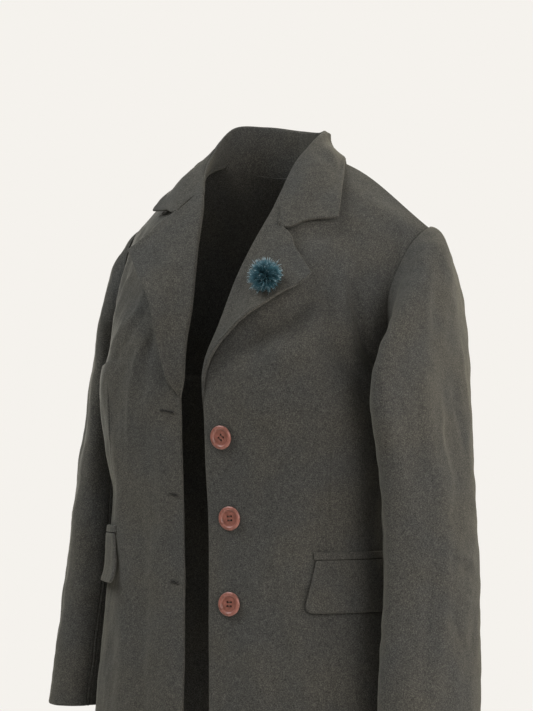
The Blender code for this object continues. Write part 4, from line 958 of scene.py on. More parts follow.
def front_sheet(side):
    """One front in all its detail: places, outward directions, shares, levels, creases."""
    if side in FRONT_SHEETS:
        return FRONT_SHEETS[side]
    levels = body_levels()
    dart = dart_share(side, levels)[:, None]
    near = np.linspace(0, 1, 50)[None, :]
    inner = dart * (1 - (1 - near) ** 1.45)
    outer = dart + (1 - dart) * near ** 1.45
    shares = np.concatenate([inner, outer[:, 1:]], axis=1)
    shares, level_grid = grid_of(shares, levels)
    points = front_surface(side, shares, levels)
    out = normals_of(points)
    lines = crease_lines(points, shares, level_grid, side, FRONT_CREASES, (0.3, 0.95))
    (u_top, top), (u_low, low) = dart_line(side)
    seam = front_surface(side, np.linspace(u_low, u_top, 25)[:, None], np.linspace(low, top, 25))
    lines.append((seam[:, 0], 0.0010, -0.0016, 2.0))
    lines.append((seam[:, 0], 0.0065, 0.0009, 1.6))
    lift = crease_lift(points, lines)
    calm = np.clip(shares / 0.03, 0, 1) * np.clip((1 - shares) / 0.04, 0, 1)
    calm = calm * np.clip((1 - level_grid) / 0.04, 0, 1)
    lift = (lift + unevenness(mirrored(points, side), 11 + side)) * calm
    points = points + out * lift[..., None]
    FRONT_SHEETS[side] = (points, normals_of(points), shares, level_grid, lines)
    return FRONT_SHEETS[side]


def faced_wall(shares, levels, width):
    """Wall of a front: thicker along its faced edge and its turned-up hem."""
    facing = np.clip(1.2 - shares * width / 0.055, 0, 1)
    hem = np.clip(1.2 - levels / 0.045, 0, 1)
    return BODY_WALL + (EDGE_WALL - BODY_WALL) * np.maximum(facing, hem)


def surface_lift(side, points):
    """How far the cloth of a front is lifted under what lies on it."""
    _, _, _, _, lines = front_sheet(side)
    return crease_lift(points, lines) + unevenness(mirrored(points, side), 11 + side)


def srgb(value):
    """One sRGB step, 0 to 255, as a linear share."""
    value = value / 255
    return value / 12.92 if value <= 0.04045 else ((value + 0.055) / 1.055) ** 2.4


def tone(code):
    """A colour given as #RRGGBB, as linear red, green and blue."""
    return tuple(srgb(int(code[i:i + 2], 16)) for i in (1, 3, 5))


def add(tree, kind, settings=None, **inputs):
    """Add a node with its settings, and link or set its inputs by name or number."""
    node = tree.nodes.new(kind)
    for name, value in (settings or {}).items():
        setattr(node, name, value)
    for name, value in inputs.items():
        socket = node.inputs[int(name[1:])] if name[0] == "_" else node.inputs[name.replace("_", " ")]
        if isinstance(value, bpy.types.NodeSocket):
            tree.links.new(value, socket)
        else:
            socket.default_value = value
    return node


def blank_material(name):
    """A new material with no nodes but its output."""
    made = bpy.data.materials.new(name)
    made.use_nodes = True
    made.node_tree.nodes.clear()
    return made, made.node_tree, add(made.node_tree, "ShaderNodeOutputMaterial")


def stepped(tree, factor, *stops):
    """Colours along a factor: (place, linear colour) pairs."""
    ramp = add(tree, "ShaderNodeValToRGB", Fac=factor)
    while len(ramp.color_ramp.elements) < len(stops):
        ramp.color_ramp.elements.new(0.5)
    for element, (place, colour) in zip(ramp.color_ramp.elements, stops):
        element.position = place
        element.color = (*colour, 1.0)
    return ramp.outputs["Color"]


def per_mm(size):
    """Noise scale whose features are about this many millimetres across."""
    return 1000.0 / size


# Fulled wool, milled until the weave is closed: a matt olive-grey felted face in which
# dark and pale fibres show as a fine mixture, with a short soft nap that pales at grazing
# angles. Single fibres are 0.03 mm thick and too fine to show, so they are drawn as
# flecks of 1.3 mm.
def fulled_wool(name, dark, middle, pale, nap):
    """Felted wool cloth."""
    made, tree, output = blank_material(name)
    place = add(tree, "ShaderNodeTexCoord").outputs["Object"]
    fibre = add(tree, "ShaderNodeTexNoise", Vector=place, Scale=per_mm(1.3), Detail=3.0, Roughness=0.7)
    tuft = add(tree, "ShaderNodeTexNoise", Vector=place, Scale=per_mm(5.0), Detail=2.0, Roughness=0.6)
    patch = add(tree, "ShaderNodeTexNoise", Vector=place, Scale=per_mm(60.0), Detail=2.0)
    blend = add(
        tree, "ShaderNodeMath", {"operation": "MULTIPLY_ADD"},
        _0=tuft.outputs["Fac"], _1=0.16, _2=-0.08,
    )
    mixed = add(
        tree, "ShaderNodeMath", {"operation": "ADD"},
        _0=fibre.outputs["Fac"], _1=blend.outputs[0],
    )
    colour = stepped(tree, mixed.outputs[0], (0.30, dark), (0.50, middle), (0.72, pale))
    warm = add(
        tree, "ShaderNodeMix", {"data_type": "RGBA", "blend_type": "MULTIPLY"},
        _0=1.0, _6=colour,
        _7=stepped(tree, patch.outputs["Fac"], (0.35, (0.93, 0.94, 0.96)), (0.65, (1.06, 1.03, 0.98))),
    )
    height = add(
        tree, "ShaderNodeMath", {"operation": "MULTIPLY_ADD"},
        _0=tuft.outputs["Fac"], _1=0.8, _2=fibre.outputs["Fac"],
    )
    bump = add(tree, "ShaderNodeBump", Strength=0.55, Distance=0.0005, Height=height.outputs[0])
    shader = add(
        tree, "ShaderNodeBsdfPrincipled",
        Base_Color=warm.outputs[2], Roughness=0.95, IOR=1.5, Normal=bump.outputs[0],
    )
    shader.inputs["Specular IOR Level"].default_value = 0.12
    shader.inputs["Sheen Weight"].default_value = 0.22
    shader.inputs["Sheen Roughness"].default_value = 0.45
    shader.inputs["Sheen Tint"].default_value = (*nap, 1.0)
    tree.links.new(shader.outputs[0], output.inputs["Surface"])
    return made


# Cast polyester turned on a lathe and barrel-polished: a brown pink with faint cloudy
# marbling and a soft clear gloss on its raised rim.
def cast_polyester(name, deep, light):
    """Polished moulded button."""
    made, tree, output = blank_material(name)
    place = add(tree, "ShaderNodeTexCoord").outputs["Object"]
    cloud = add(
        tree, "ShaderNodeTexNoise",
        Vector=place, Scale=per_mm(7.0), Detail=3.0, Distortion=1.2,
    )
    fine = add(tree, "ShaderNodeTexNoise", Vector=place, Scale=per_mm(0.6), Detail=2.0)
    colour = stepped(tree, cloud.outputs["Fac"], (0.30, deep), (0.70, light))
    rough = add(
        tree, "ShaderNodeMapRange", None,
        Value=fine.outputs["Fac"], To_Min=0.30, To_Max=0.44,
    )
    bump = add(tree, "ShaderNodeBump", Strength=0.15, Distance=0.0001, Height=fine.outputs["Fac"])
    shader = add(
        tree, "ShaderNodeBsdfPrincipled",
        Base_Color=colour, Roughness=rough.outputs[0], IOR=1.54, Normal=bump.outputs[0],
    )
    tree.links.new(shader.outputs[0], output.inputs["Surface"])
    return made


# Mercerised cotton thread, twisted: dark, with painted highlight and shade along its twist, which
# is 0.3 mm from turn to turn and is drawn as fine light and dark stripes.
def cotton_thread(name, colour):
    """Twisted sewing thread, the gloss and shade of its twist painted as stripes."""
    made, tree, output = blank_material(name)
    place = add(tree, "ShaderNodeTexCoord").outputs["Object"]
    twist = add(
        tree, "ShaderNodeTexWave", {"bands_direction": "DIAGONAL"},
        Vector=place, Scale=per_mm(0.9) / 6.28, Distortion=1.0,
    )
    # Painted highlight and shade: stripes from 0.6 to 1.25 times the thread's colour along the twist.
    shade = stepped(
        tree, twist.outputs["Fac"],
        (0.0, tuple(0.6 * c for c in colour)), (1.0, tuple(1.25 * c for c in colour)),
    )
    bump = add(tree, "ShaderNodeBump", Strength=0.5, Distance=0.0001, Height=twist.outputs["Fac"])
    shader = add(
        tree, "ShaderNodeBsdfPrincipled",
        Base_Color=shade, Roughness=0.6, IOR=1.5, Normal=bump.outputs[0],
    )
    tree.links.new(shader.outputs[0], output.inputs["Surface"])
    return made


# Dyed fur clipped round, its colour set by distance from the middle: near-black near the core, teal
# further out and pale at the tips.
def dyed_fur(name, root, hair, tip, reach):
    """Fur from its dark roots to its pale tips."""
    made, tree, output = blank_material(name)
    place = add(tree, "ShaderNodeTexCoord").outputs["Object"]
    far = add(tree, "ShaderNodeVectorMath", {"operation": "LENGTH"}, _0=place)
    lock = add(tree, "ShaderNodeTexNoise", Vector=place, Scale=per_mm(3.0), Detail=2.0)
    share = add(
        tree, "ShaderNodeMath", {"operation": "DIVIDE"}, _0=far.outputs["Value"], _1=reach,
    )
    moved = add(
        tree, "ShaderNodeMath", {"operation": "MULTIPLY_ADD"},
        _0=lock.outputs["Fac"], _1=0.24, _2=share.outputs[0],
    )
    colour = stepped(tree, moved.outputs[0], (0.50, root), (0.82, hair), (0.96, hair), (1.0, tip))
    shader = add(
        tree, "ShaderNodeBsdfPrincipled", Base_Color=colour, Roughness=0.5, IOR=1.55,
    )
    shader.inputs["Specular IOR Level"].default_value = 0.25
    tree.links.new(shader.outputs[0], output.inputs["Surface"])
    return made


# Painted board or seamless paper: pale, even and matt.
def matt_paper(name, colour):
    """Pale floor."""
    made, tree, output = blank_material(name)
    place = add(tree, "ShaderNodeTexCoord").outputs["Object"]
    grain = add(tree, "ShaderNodeTexNoise", Vector=place, Scale=per_mm(2.0), Detail=2.0)
    shade = stepped(
        tree, grain.outputs["Fac"], (0.3, tuple(0.985 * c for c in colour)), (0.7, colour),
    )
    shader = add(tree, "ShaderNodeBsdfPrincipled", Base_Color=shade, Roughness=0.9)
    tree.links.new(shader.outputs[0], output.inputs["Surface"])
    return made


class CoatCloth(bpy.types.PropertyGroup):
    """Colours of the coat's wool."""

    dark: bpy.props.FloatVectorProperty(
        name="Dark fibres", description="Darkest fibres of the mixture",
        default=tone("#2A2A28"), subtype="COLOR", min=0, max=1,
    )
    middle: bpy.props.FloatVectorProperty(
        name="Ground", description="Main colour of the wool",
        default=tone("#42413E"), subtype="COLOR", min=0, max=1,
    )
    pale: bpy.props.FloatVectorProperty(
        name="Pale fibres", description="Palest fibres of the mixture",
        default=tone("#5E5C57"), subtype="COLOR", min=0, max=1,
    )
    nap: bpy.props.FloatVectorProperty(
        name="Nap", description="Colour of the nap at grazing angles",
        default=tone("#C9C4B2"), subtype="COLOR", min=0, max=1,
    )


class CoatTrim(bpy.types.PropertyGroup):
    """Sizes and colours of buttons, thread and fur."""

    button_deep: bpy.props.FloatVectorProperty(
        name="Button, deep", description="Darker clouds in the buttons",
        default=tone("#6C4338"), subtype="COLOR", min=0, max=1,
    )
    button_light: bpy.props.FloatVectorProperty(
        name="Button, light", description="Lighter clouds in the buttons",
        default=tone("#945F53"), subtype="COLOR", min=0, max=1,
    )
    thread: bpy.props.FloatVectorProperty(
        name="Thread", description="Sewing and buttonhole thread",
        default=tone("#2E2B26"), subtype="COLOR", min=0, max=1,
    )
    hair_count: bpy.props.IntProperty(
        name="Hairs", description="Hairs drawn on the pompom", default=5200, min=500, max=8000,
    )
    hair_reach: bpy.props.FloatProperty(
        name="Reach of the fur", description="From the middle of the pompom to its tips",
        default=0.0228, min=0.01, max=0.03, unit="LENGTH",
    )
    fur_root: bpy.props.FloatVectorProperty(
        name="Under-fur", description="Colour deep in the fur",
        default=tone("#0B1518"), subtype="COLOR", min=0, max=1,
    )
    fur_hair: bpy.props.FloatVectorProperty(
        name="Guard hairs", description="Main colour of the fur",
        default=tone("#3B6470"), subtype="COLOR", min=0, max=1,
    )
    fur_tip: bpy.props.FloatVectorProperty(
        name="Tips", description="Pale tips of the fur",
        default=tone("#A9C0C8"), subtype="COLOR", min=0, max=1,
    )


class CoatStudio(bpy.types.PropertyGroup):
    """Floor, backdrop and lights."""

    floor_level: bpy.props.FloatProperty(
        name="Floor", description="Height of the floor under the coat",
        default=-1.38, unit="LENGTH",
    )
    floor_radius: bpy.props.FloatProperty(
        name="Floor radius", description="Half the width of the round floor",
        default=2.6, min=0.5, unit="LENGTH",
    )
    backdrop: bpy.props.FloatVectorProperty(
        name="Backdrop", description="Colour behind the coat",
        default=tone("#F5F2ED"), subtype="COLOR", min=0, max=1,
    )
    key_power: bpy.props.FloatProperty(
        name="Key light", description="Low light from in front on the coat's left", default=27.0,
        min=0, unit="POWER",
    )
    front_power: bpy.props.FloatProperty(
        name="Front light", description="Weak light from straight in front", default=8.0,
        min=0, unit="POWER",
    )
    window_power: bpy.props.FloatProperty(
        name="Window light", description="Cool light from high on the coat's right", default=44.0,
        min=0, unit="POWER",
    )
    side_power: bpy.props.FloatProperty(
        name="Side light", description="Warm low light from the coat's left", default=25.0,
        min=0, unit="POWER",
    )
    back_power: bpy.props.FloatProperty(
        name="Back light", description="Warm light from high behind", default=38.0,
        min=0, unit="POWER",
    )
    rim_power: bpy.props.FloatProperty(
        name="Rim light", description="Low light from behind on the coat's right", default=55.0,
        min=0, unit="POWER",
    )
    ambient: bpy.props.FloatProperty(
        name="Ambient", description="Light that comes from all round", default=0.05, min=0,
    )


MATERIALS = {}


def wool(part):
    """The wool of one part of the coat, made once."""
    cloth = bpy.context.scene.coat_cloth
    name = f"fulled_wool_{part}"
    if name not in MATERIALS:
        MATERIALS[name] = fulled_wool(name, cloth.dark, cloth.middle, cloth.pale, cloth.nap)
    return MATERIALS[name]


def thread():
    """The sewing thread, made once."""
    if "thread" not in MATERIALS:
        MATERIALS["thread"] = cotton_thread("cotton_thread_dark", bpy.context.scene.coat_trim.thread)
    return MATERIALS["thread"]


def settle(made, node):
    """Put a piece on the coat's body in place of its solid."""
    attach(made, "root")
    if node:
        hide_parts(node)


def make_front(side):
    """One front with its facing, dart, hem and folds."""
    name = "front_left" if side > 0 else "front_right"
    points, out, shares, levels, _ = front_sheet(side)
    points, out = mirrored(points, side), mirrored(out, side)
    out[-1] = mirrored(shoulder_up(side, shares[-1]), side)
    wall = faced_wall(shares, levels, 0.30)
    made = cloth_piece(
        f"{name}_cloth", points, out, wall, wool("body"), shares, levels, flip=side < 0,
        sewn={"last row": SEAM_ROUND, "last column": SEAM_ROUND},
    )
    settle(made, name)
    return made


def back_shares():
    """Columns of one half of the back, closest together at the centre seam."""
    return np.linspace(0, 1, 66) ** 1.3


def make_back():
    """The back, with its centre seam, hem and folds."""
    levels = body_levels()
    half = back_shares()
    share = np.clip((half - NECK_SHARE) / (1 - NECK_SHARE), 0, 1)
    halves, tops, all_shares = [], [], []
    for side in (-1, 1):
        points = back_surface(side, half, levels)
        shares, level_grid = grid_of(half, levels)
        out = -normals_of(points)
        lines = crease_lines(points, shares, level_grid, side, BACK_CREASES, (0.3, 0.95))
        lift = crease_lift(points, lines)
        off = np.linalg.norm(points - points[:, :1], axis=-1)
        sewn = np.clip((0.985 - level_grid) / 0.01, 0, 1)
        lift += sewn * (0.0005 * np.exp(-(off / 0.006) ** 2) - 0.0014 * np.exp(-(off / 0.0011) ** 2))
        calm = np.clip((1 - shares) / 0.04, 0, 1) * np.clip((1 - level_grid) / 0.04, 0, 1)
        lift = (lift + unevenness(mirrored(points, side), 31)) * calm
        points = points + out * lift[..., None]
        halves.append(mirrored(points, side))
        top = mirrored(shoulder_up(side, share), side)
        top[half < NECK_SHARE] = np.nan
        tops.append(top)
        all_shares.append(shares * side)
    points = np.concatenate([halves[0][:, :0:-1], halves[1]], axis=1)
    shares = np.concatenate([all_shares[0][:, :0:-1], all_shares[1]], axis=1)
    level_grid = np.broadcast_to(levels[:, None], shares.shape)
    out = -normals_of(points)
    top = np.concatenate([tops[0][:0:-1], tops[1]])
    given = np.isfinite(top[:, 0])
    out[-1, given] = top[given]
    wall = faced_wall(np.ones_like(shares), level_grid, 1.0)
    made = cloth_piece(
        "back_cloth", points, out, wall, wool("body"), shares, level_grid, flip=True,
        sewn={edge: SEAM_ROUND for edge in ("last row", "first column", "last column")},
    )
    settle(made, "back")
    return made


def sleeve_turns():
    """Columns round a sleeve in degrees, closer together at its two seams."""
    turns = list(np.linspace(0, 360, 109)[:-1])
    for seam in SLEEVE_SEAMS:
        turns += [seam + off for off in (-1.3, -0.8, -0.4, 0.0, 0.4, 0.8, 1.3)]
    return np.unique(np.round(turns, 3))


SLEEVE_SEAMS = (255.0, 128.0)


def make_sleeve(side):
    """One two-piece sleeve, an open tube with its seams, folds and turned-up cuff."""
    name = "sleeve_left" if side > 0 else "sleeve_right"
    turns = sleeve_turns()
    cap, tube = 46, 92
    points = sleeve_surface(side, turns, cap, tube)
    down = np.linspace(0, 1, cap + tube + 1)
    shares, levels = grid_of(turns / 360, down)
    wide = np.concatenate([points[:, -1:], points, points[:, :1]], axis=1)
    out = -normals_of(wide)[:, 1:-1]
    lines = crease_lines(points, shares, levels, side, SLEEVE_CREASES, (0.36, 0.60))
    lift = crease_lift(points, lines)
    for seam in SLEEVE_SEAMS:
        off = (turns[None, :] - seam) * 0.001
        begin = np.clip((levels - 0.02) / 0.03, 0, 1)
        lift = lift - begin * 0.0011 * np.exp(-(off / 0.0009) ** 2)
        lift = lift + begin * 0.0004 * np.exp(-(off / 0.005) ** 2)
    calm = np.clip(levels / 0.05, 0, 1)
    lift = (lift + unevenness(mirrored(points, side), 51 + side)) * calm
    points = points + out * lift[..., None]
    wide = np.concatenate([points[:, -1:], points, points[:, :1]], axis=1)
    out = -normals_of(wide)[:, 1:-1]
    cuff = np.clip(1.2 - (1 - levels) / 0.075, 0, 1)
    wall = BODY_WALL + (EDGE_WALL - BODY_WALL) * cuff
    points, out = mirrored(points, side)[::-1], mirrored(out, side)[::-1]
    made = cloth_piece(
        f"{name}_cloth", points, out, wall[::-1], wool("sleeve"), shares[::-1], levels[::-1],
        closed=True, flip=side > 0, sewn={"last row": SEAM_ROUND},
    )
    settle(made, name)
    return made


def fold_shares(run, roll, fall):
    """Columns across a collar or lapel: its run up, its roll and its fall."""
    return np.concatenate([
        np.linspace(0, RUN_SHARE, run + 1)[:-1],
        np.linspace(RUN_SHARE, ROLL_SHARE, roll + 1)[:-1],
        np.linspace(ROLL_SHARE, 1, fall + 1),
    ])


def edge_ridge(points, closed_end):
    """Lift along the outer and end edges, where the seam turned inside fills the cloth."""
    across = np.linalg.norm(points - points[:, -1:], axis=-1)
    lift = 0.0006 * np.exp(-((across - 0.0045) / 0.0028) ** 2)
    for end in closed_end:
        off = np.linalg.norm(points - points[end][None], axis=-1)
        lift = np.maximum(lift, 0.0006 * np.exp(-((off - 0.0045) / 0.0028) ** 2))
    return lift


def sewn_to_notch(across):
    """Radius of a gorge edge: a seam as far as the notch, then rounded right over."""
    return np.where(np.asarray(across) <= NOTCH_SHARE, SEAM_ROUND, 0.0)


def make_collar():
    """The collar: its stand, roll and fall, from gorge to gorge."""
    places = np.linspace(0, 1, 76)
    across = fold_shares(6, 16, 34)
    halves = [collar_half(side, places, across) for side in (-1, 1)]
    halves = [gorge_closed(half, side, places, across) for half, side in zip(halves, (-1, 1))]
    halves = [sprung(half, -normals_of(half), places, across, *COLLAR_SPRING) for half in halves]
    right, left = mirrored(halves[0], -1), mirrored(halves[1], 1)
    points = np.concatenate([right[:0:-1], left])
    levels = np.concatenate([-places[:0:-1], places])
    shares, levels = grid_of(across, levels)
    out = -normals_of(points)
    lines = crease_lines(points, shares, levels, 1, COLLAR_CREASES, (0.1, 0.24))
    lift = crease_lift(points, lines)
    fall = np.clip((shares - 0.45) / 0.1, 0, 1)
    lift = lift + fall * (edge_ridge(points, (0, -1)) + 0.8 * unevenness(points, 71))
    points = points + out * lift[..., None]
    made = cloth_piece(
        "collar_cloth", points, -normals_of(points), COLLAR_WALL, wool("collar"), shares, levels,
        flip=True,
        sewn={
            "first row": sewn_to_notch(across), "last row": sewn_to_notch(across),
            "first column": SEAM_ROUND,
        },
    )
    settle(made, "collar")
    return made


def make_lapel(side):
    """One lapel, turned back on its front."""
    name = "lapel_left" if side > 0 else "lapel_right"
    places = np.linspace(0, 1, 96)
    across = fold_shares(4, 14, 40)
    points = gorge_closed(lapel_surface(side, places, across), side, places, across)
    points = sprung(points, normals_of(points), places, across, *LAPEL_SPRING)
    shares, levels = grid_of(across, places)
    out = normals_of(points)
    lines = crease_lines(points, shares, levels, side, LAPEL_CREASES, (0.09, 0.22))
    lift = crease_lift(points, lines)
    fall = np.clip((shares - 0.45) / 0.1, 0, 1) * np.clip(levels / 0.2, 0, 1)
    lift = lift + fall * (edge_ridge(points, (-1,)) + 0.8 * unevenness(points, 81 + side))
    points = points + out * lift[..., None]
    wall = COLLAR_WALL * (lapel_share(places) * narrowed(side, places))[:, None]
    made = cloth_piece(
        f"{name}_cloth", mirrored(points, side), mirrored(normals_of(points), side), wall,
        wool("collar"), shares, levels, flip=side < 0,
        sewn={"last row": sewn_to_notch(across), "first column": SEAM_ROUND},
    )
    settle(made, name)
    return made


def strip_on_front(side, along, down, height, slant, lift, corner, steps):
    """A strip of cloth that lies on a front, as points[row, column], and its places."""
    u, level = on_front(side, POCKET_X[side], POCKET_Z - side * DROP)
    fine = np.linspace(u - 0.08, 1.0, 200)
    line = front_surface(side, fine, [level])[0]
    run = np.concatenate([[0], np.cumsum(np.linalg.norm(np.diff(line, axis=0), axis=-1))])
    run -= np.interp(u, fine, run)
    tall = np.linalg.norm(np.diff(front_surface(side, [u], [level - 0.05, level])[:, 0], axis=0))
    per_metre = 0.05 / tall
    rows = []
    for share in np.linspace(0, 1, steps[0] + 1):
        places = np.linspace(along[0] - slant * share, along[1], steps[1] + 1)
        spot = np.interp(places, run, fine)
        row_level = level - (down + height * share) * per_metre
        patch = front_surface(side, spot, [row_level - 1e-3, row_level, row_level + 1e-3])
        face = normals_of(patch)[1]
        ahead = np.linspace(1, 0.3, steps[1] + 1)
        stand = LAY_GAP * 0.5 + FLAP_WALL + lift * ahead * share ** 2
        stand = stand + surface_lift(side, patch[1])
        rows.append(patch[1] + face * stand[:, None])
    grid = np.stack(rows)
    if corner:
        ends = np.linspace(0, 1, steps[1] + 1) * (along[1] - along[0])
        off = np.clip(np.minimum(ends, ends[-1] - ends) / corner, 0, 1)
        depth = 1 - corner / height * (1 - np.sqrt(1 - (1 - off) ** 2))
        where = np.linspace(0, steps[0], steps[0] + 1)
        for index, share in enumerate(depth):
            for axis in range(3):
                grid[:, index, axis] = np.interp(where * share, where, grid[:, index, axis])
    return grid[::-1]


def make_strip(name, side, held, *shape):
    """A flap or welt sewn on a front."""
    points = strip_on_front(side, *shape)
    rows, columns = points.shape[:2]
    shares, levels = grid_of(np.linspace(0, 1, columns), np.linspace(0, 1, rows))
    out = normals_of(points)
    off = np.minimum(levels * rows, np.minimum(shares, 1 - shares) * columns)
    lift = 0.0005 * np.exp(-((off - 2.0) / 1.6) ** 2) if held == "hung" else 0.0
    points = points + out * (unevenness(points, 91 + side) * 0.7 + lift)[..., None]
    made = cloth_piece(
        f"{name}_cloth", mirrored(points, side), mirrored(normals_of(points), side), FLAP_WALL,
        wool("pocket"), shares, levels, flip=side < 0,
        sewn={"last row" if held == "hung" else "first row": SEAM_ROUND},
    )
    settle(made, name)
    return made


def seat(side, u, level):
    """Where a small piece sits on a front, with the cloth's outward direction there."""
    patch = front_surface(side, [u - 1e-3, u, u + 1e-3], [level - 1e-3, level, level + 1e-3])
    return mirrored(patch[1, 1], side), mirrored(normals_of(patch)[1, 1], side)


def button_profile():
    """Half section of a button, from the middle of its back round to its dished face."""
    radius, thick = BUTTON_RADIUS, BUTTON_THICK
    rim = radius * 0.68
    return [
        (0.0, thick * 0.56),
        (rim * 0.5, thick * 0.545),
        (rim - 0.0008, thick * 0.50),
        (rim - 0.0002, thick * 0.52),
        (rim + 0.0001, thick * 0.62),
        (rim + 0.0005, thick * 0.90),
        (rim + 0.0012, thick * 0.98),
        (rim + 0.0020, thick),
        (radius - 0.0012, thick * 0.965),
        (radius - 0.0004, thick * 0.85),
        (radius, thick * 0.66),
        (radius - 0.0002, thick * 0.45),
        (radius - 0.0010, thick * 0.22),
        (radius * 0.78, thick * 0.03),
        (radius * 0.5, 0.0),
        (0.0, 0.0),
    ]


def button_place(z, from_edge):
    """Where a button stands on the left front, its face up along local Z."""
    edge_x = np.interp(z + DROP, column(EDGE_ROWS, 1), column(EDGE_ROWS, 3))
    u, level = on_front(1, edge_x + from_edge, z)
    place, face = seat(1, u, level)
    face = Vector(face)
    stand = Matrix.Translation(Vector(place) + face * BUTTON_STANDOFF)
    return stand @ face.to_track_quat("Z", "Y").to_matrix().to_4x4()


def hole_spots(turned):
    """Middles of a button's four holes, in its own plane."""
    reach = BUTTON_HOLE_SPACING / math.sqrt(2)
    angles = [math.radians(turned + 90 * count) for count in range(4)]
    return [Vector((reach * math.cos(a), reach * math.sin(a), 0.0)) for a in angles]


def make_button(number, z, from_edge, turned, finish):
    """A four-hole button with a rounded rim round a dished face."""
    name = f"button_{number}"
    profile = [(x, 0.0, height) for x, height in button_profile()]
    mesh = bpy.data.meshes.new(f"{name}_turned")
    mesh.from_pydata(profile, [(i, i + 1) for i in range(len(profile) - 1)], [])
    made = bpy.data.objects.new(f"{name}_turned", mesh)
    bpy.context.scene.collection.objects.link(made)
    mesh.materials.append(finish)
    screw = made.modifiers.new("turned", "SCREW")
    screw.steps = screw.render_steps = 72
    screw.use_merge_vertices = True
    screw.merge_threshold = 0.00001
    cutters = []
    for spot in hole_spots(turned):
        hole = bpy.data.meshes.new("hole")
        shape = bmesh.new()
        bmesh.ops.create_cone(
            shape, cap_ends=True, segments=18, radius1=BUTTON_HOLE, radius2=BUTTON_HOLE,
            depth=BUTTON_THICK * 3, matrix=Matrix.Translation(spot),
        )
        shape.to_mesh(hole)
        shape.free()
        cutter = bpy.data.objects.new("hole", hole)
        bpy.context.scene.collection.objects.link(cutter)
        cut = made.modifiers.new("hole", "BOOLEAN")
        cut.operation = "DIFFERENCE"
        cut.solver = "EXACT"
        cut.object = cutter
        cutters.append(cutter)
    bpy.context.view_layer.update()
    done = bpy.data.meshes.new_from_object(made.evaluated_get(bpy.context.evaluated_depsgraph_get()))
    made.modifiers.clear()
    made.data = done
    for cutter in cutters:
        bpy.data.objects.remove(cutter, do_unlink=True)
    done.shade_smooth()
    done.set_sharp_from_angle(angle=math.radians(50))
    made.matrix_world = button_place(z, from_edge)
    settle(made, name)
    sew_button(name, turned, made.matrix_world)
    return made


def tube(path, radius, sides=6):
    """Corners and faces of a thread along a path, its ends closed to a point."""
    path = [Vector(p) for p in path]
    corners, faces = [], []
    for index, point in enumerate(path):
        ahead = path[min(index + 1, len(path) - 1)] - path[max(index - 1, 0)]
        turned = ahead.to_track_quat("Z", "Y")
        size = radius * (0.55 if index in (0, len(path) - 1) else 1.0)
        for side in range(sides):
            angle = 2 * math.pi * side / sides
            off = Vector((math.cos(angle) * size, math.sin(angle) * size, 0.0))
            corners.append(point + turned @ off)
    for index in range(len(path) - 1):
        for side in range(sides):
            a = index * sides + side
            b = index * sides + (side + 1) % sides
            faces.append((a, b, b + sides, a + sides))
    faces.append(tuple(range(sides))[::-1])
    faces.append(tuple(range(len(corners) - sides, len(corners))))
    return corners, faces


def thread_object(name, threads, finish):
    """Several short threads as one piece."""
    corners, faces = [], []
    for path, radius in threads:
        more, joined = tube(path, radius)
        faces += [tuple(i + len(corners) for i in face) for face in joined]
        corners += more
    mesh = bpy.data.meshes.new(name)
    mesh.from_pydata([tuple(c) for c in corners], [], faces)
    mesh.shade_smooth()
    mesh.materials.append(finish)
    made = bpy.data.objects.new(name, mesh)
    bpy.context.scene.collection.objects.link(made)
    return made


def sew_button(name, turned, stand):
    """Thread through a button's holes, two passes side by side over each pair."""
    spots = hole_spots(turned)
    face = BUTTON_THICK * 0.55
    threads = []
    for first, second in ((0, 1), (3, 2)):
        a, b = spots[first], spots[second]
        beside = (b - a).cross(Vector((0, 0, 1))).normalized()
        for off in (-0.00022, 0.00022):
            path = []
            for share in (0.0, 0.0, 0.18, 0.5, 0.82, 1.0, 1.0):
                path.append(a.lerp(b, share) + beside * off)
            heights = (face - 0.0022, face - 0.0003, face + 0.0003, face + 0.0005)
            for point, height in zip(path, (*heights, *heights[2::-1])):
                point.z = height
            threads.append((path, 0.00016))
    made = thread_object(f"{name}_thread", threads, thread())
    made.matrix_world = stand
    settle(made, None)


def make_buttonhole(number, x, z):
    """A worked keyhole buttonhole on the right front: its slit, drawn as a sheet of painted shade, and its
    stitches.
    """
    u, level = on_front(-1, x, z)
    place, face = seat(-1, u, level)
    lift = float(surface_lift(-1, mirrored(place, -1)[None])[0])
    place, face = Vector(place + face * lift), Vector(face)
    across = Vector((1, 0, -0.16))
    across = (across - face * across.dot(face)).normalized()
    up = face.cross(across).normalized()
    half = 0.0090
    outline = []
    for step in range(60):
        angle = 2 * math.pi * step / 60
        along = half * math.cos(angle)
        wide = 0.00035 + 0.0009 * max(0.0, (along - half * 0.6) / (half * 0.4))
        outline.append((along, wide * math.copysign(abs(math.sin(angle)) ** 0.6, math.sin(angle))))
    chance = np.random.default_rng(200 + number)
    threads = []
    for along, wide in outline:
        way = Vector((along * 0.12 if abs(along) < half * 0.9 else along, wide * 8 + 1e-6, 0)).normalized()
        long = 0.0018 * chance.uniform(0.85, 1.2)
        start = place + across * along + up * wide
        lead = across * way.x + up * way.y
        path = [
            start - lead * 0.0003 - face * 0.0006,
            start + face * 0.00045,
            start + lead * long * 0.5 + face * 0.00055,
            start + lead * long - face * 0.0004,
        ]
        threads.append((path, 0.00021))
    made = thread_object(f"buttonhole_{number}", threads, thread())
    settle(made, None)
    # The slit is a near-black sheet just over the cloth: painted shade for the slit's dark inside.
    slit = bpy.data.meshes.new(f"buttonhole_slit_{number}")
    rim = [place + across * along * 0.98 + up * wide + face * 0.00015 for along, wide in outline]
    slit.from_pydata([tuple(p) for p in rim], [], [tuple(range(len(rim)))])
    slit.materials.append(shadow())
    cut = bpy.data.objects.new(f"buttonhole_slit_{number}", slit)
    bpy.context.scene.collection.objects.link(cut)
    settle(cut, None)
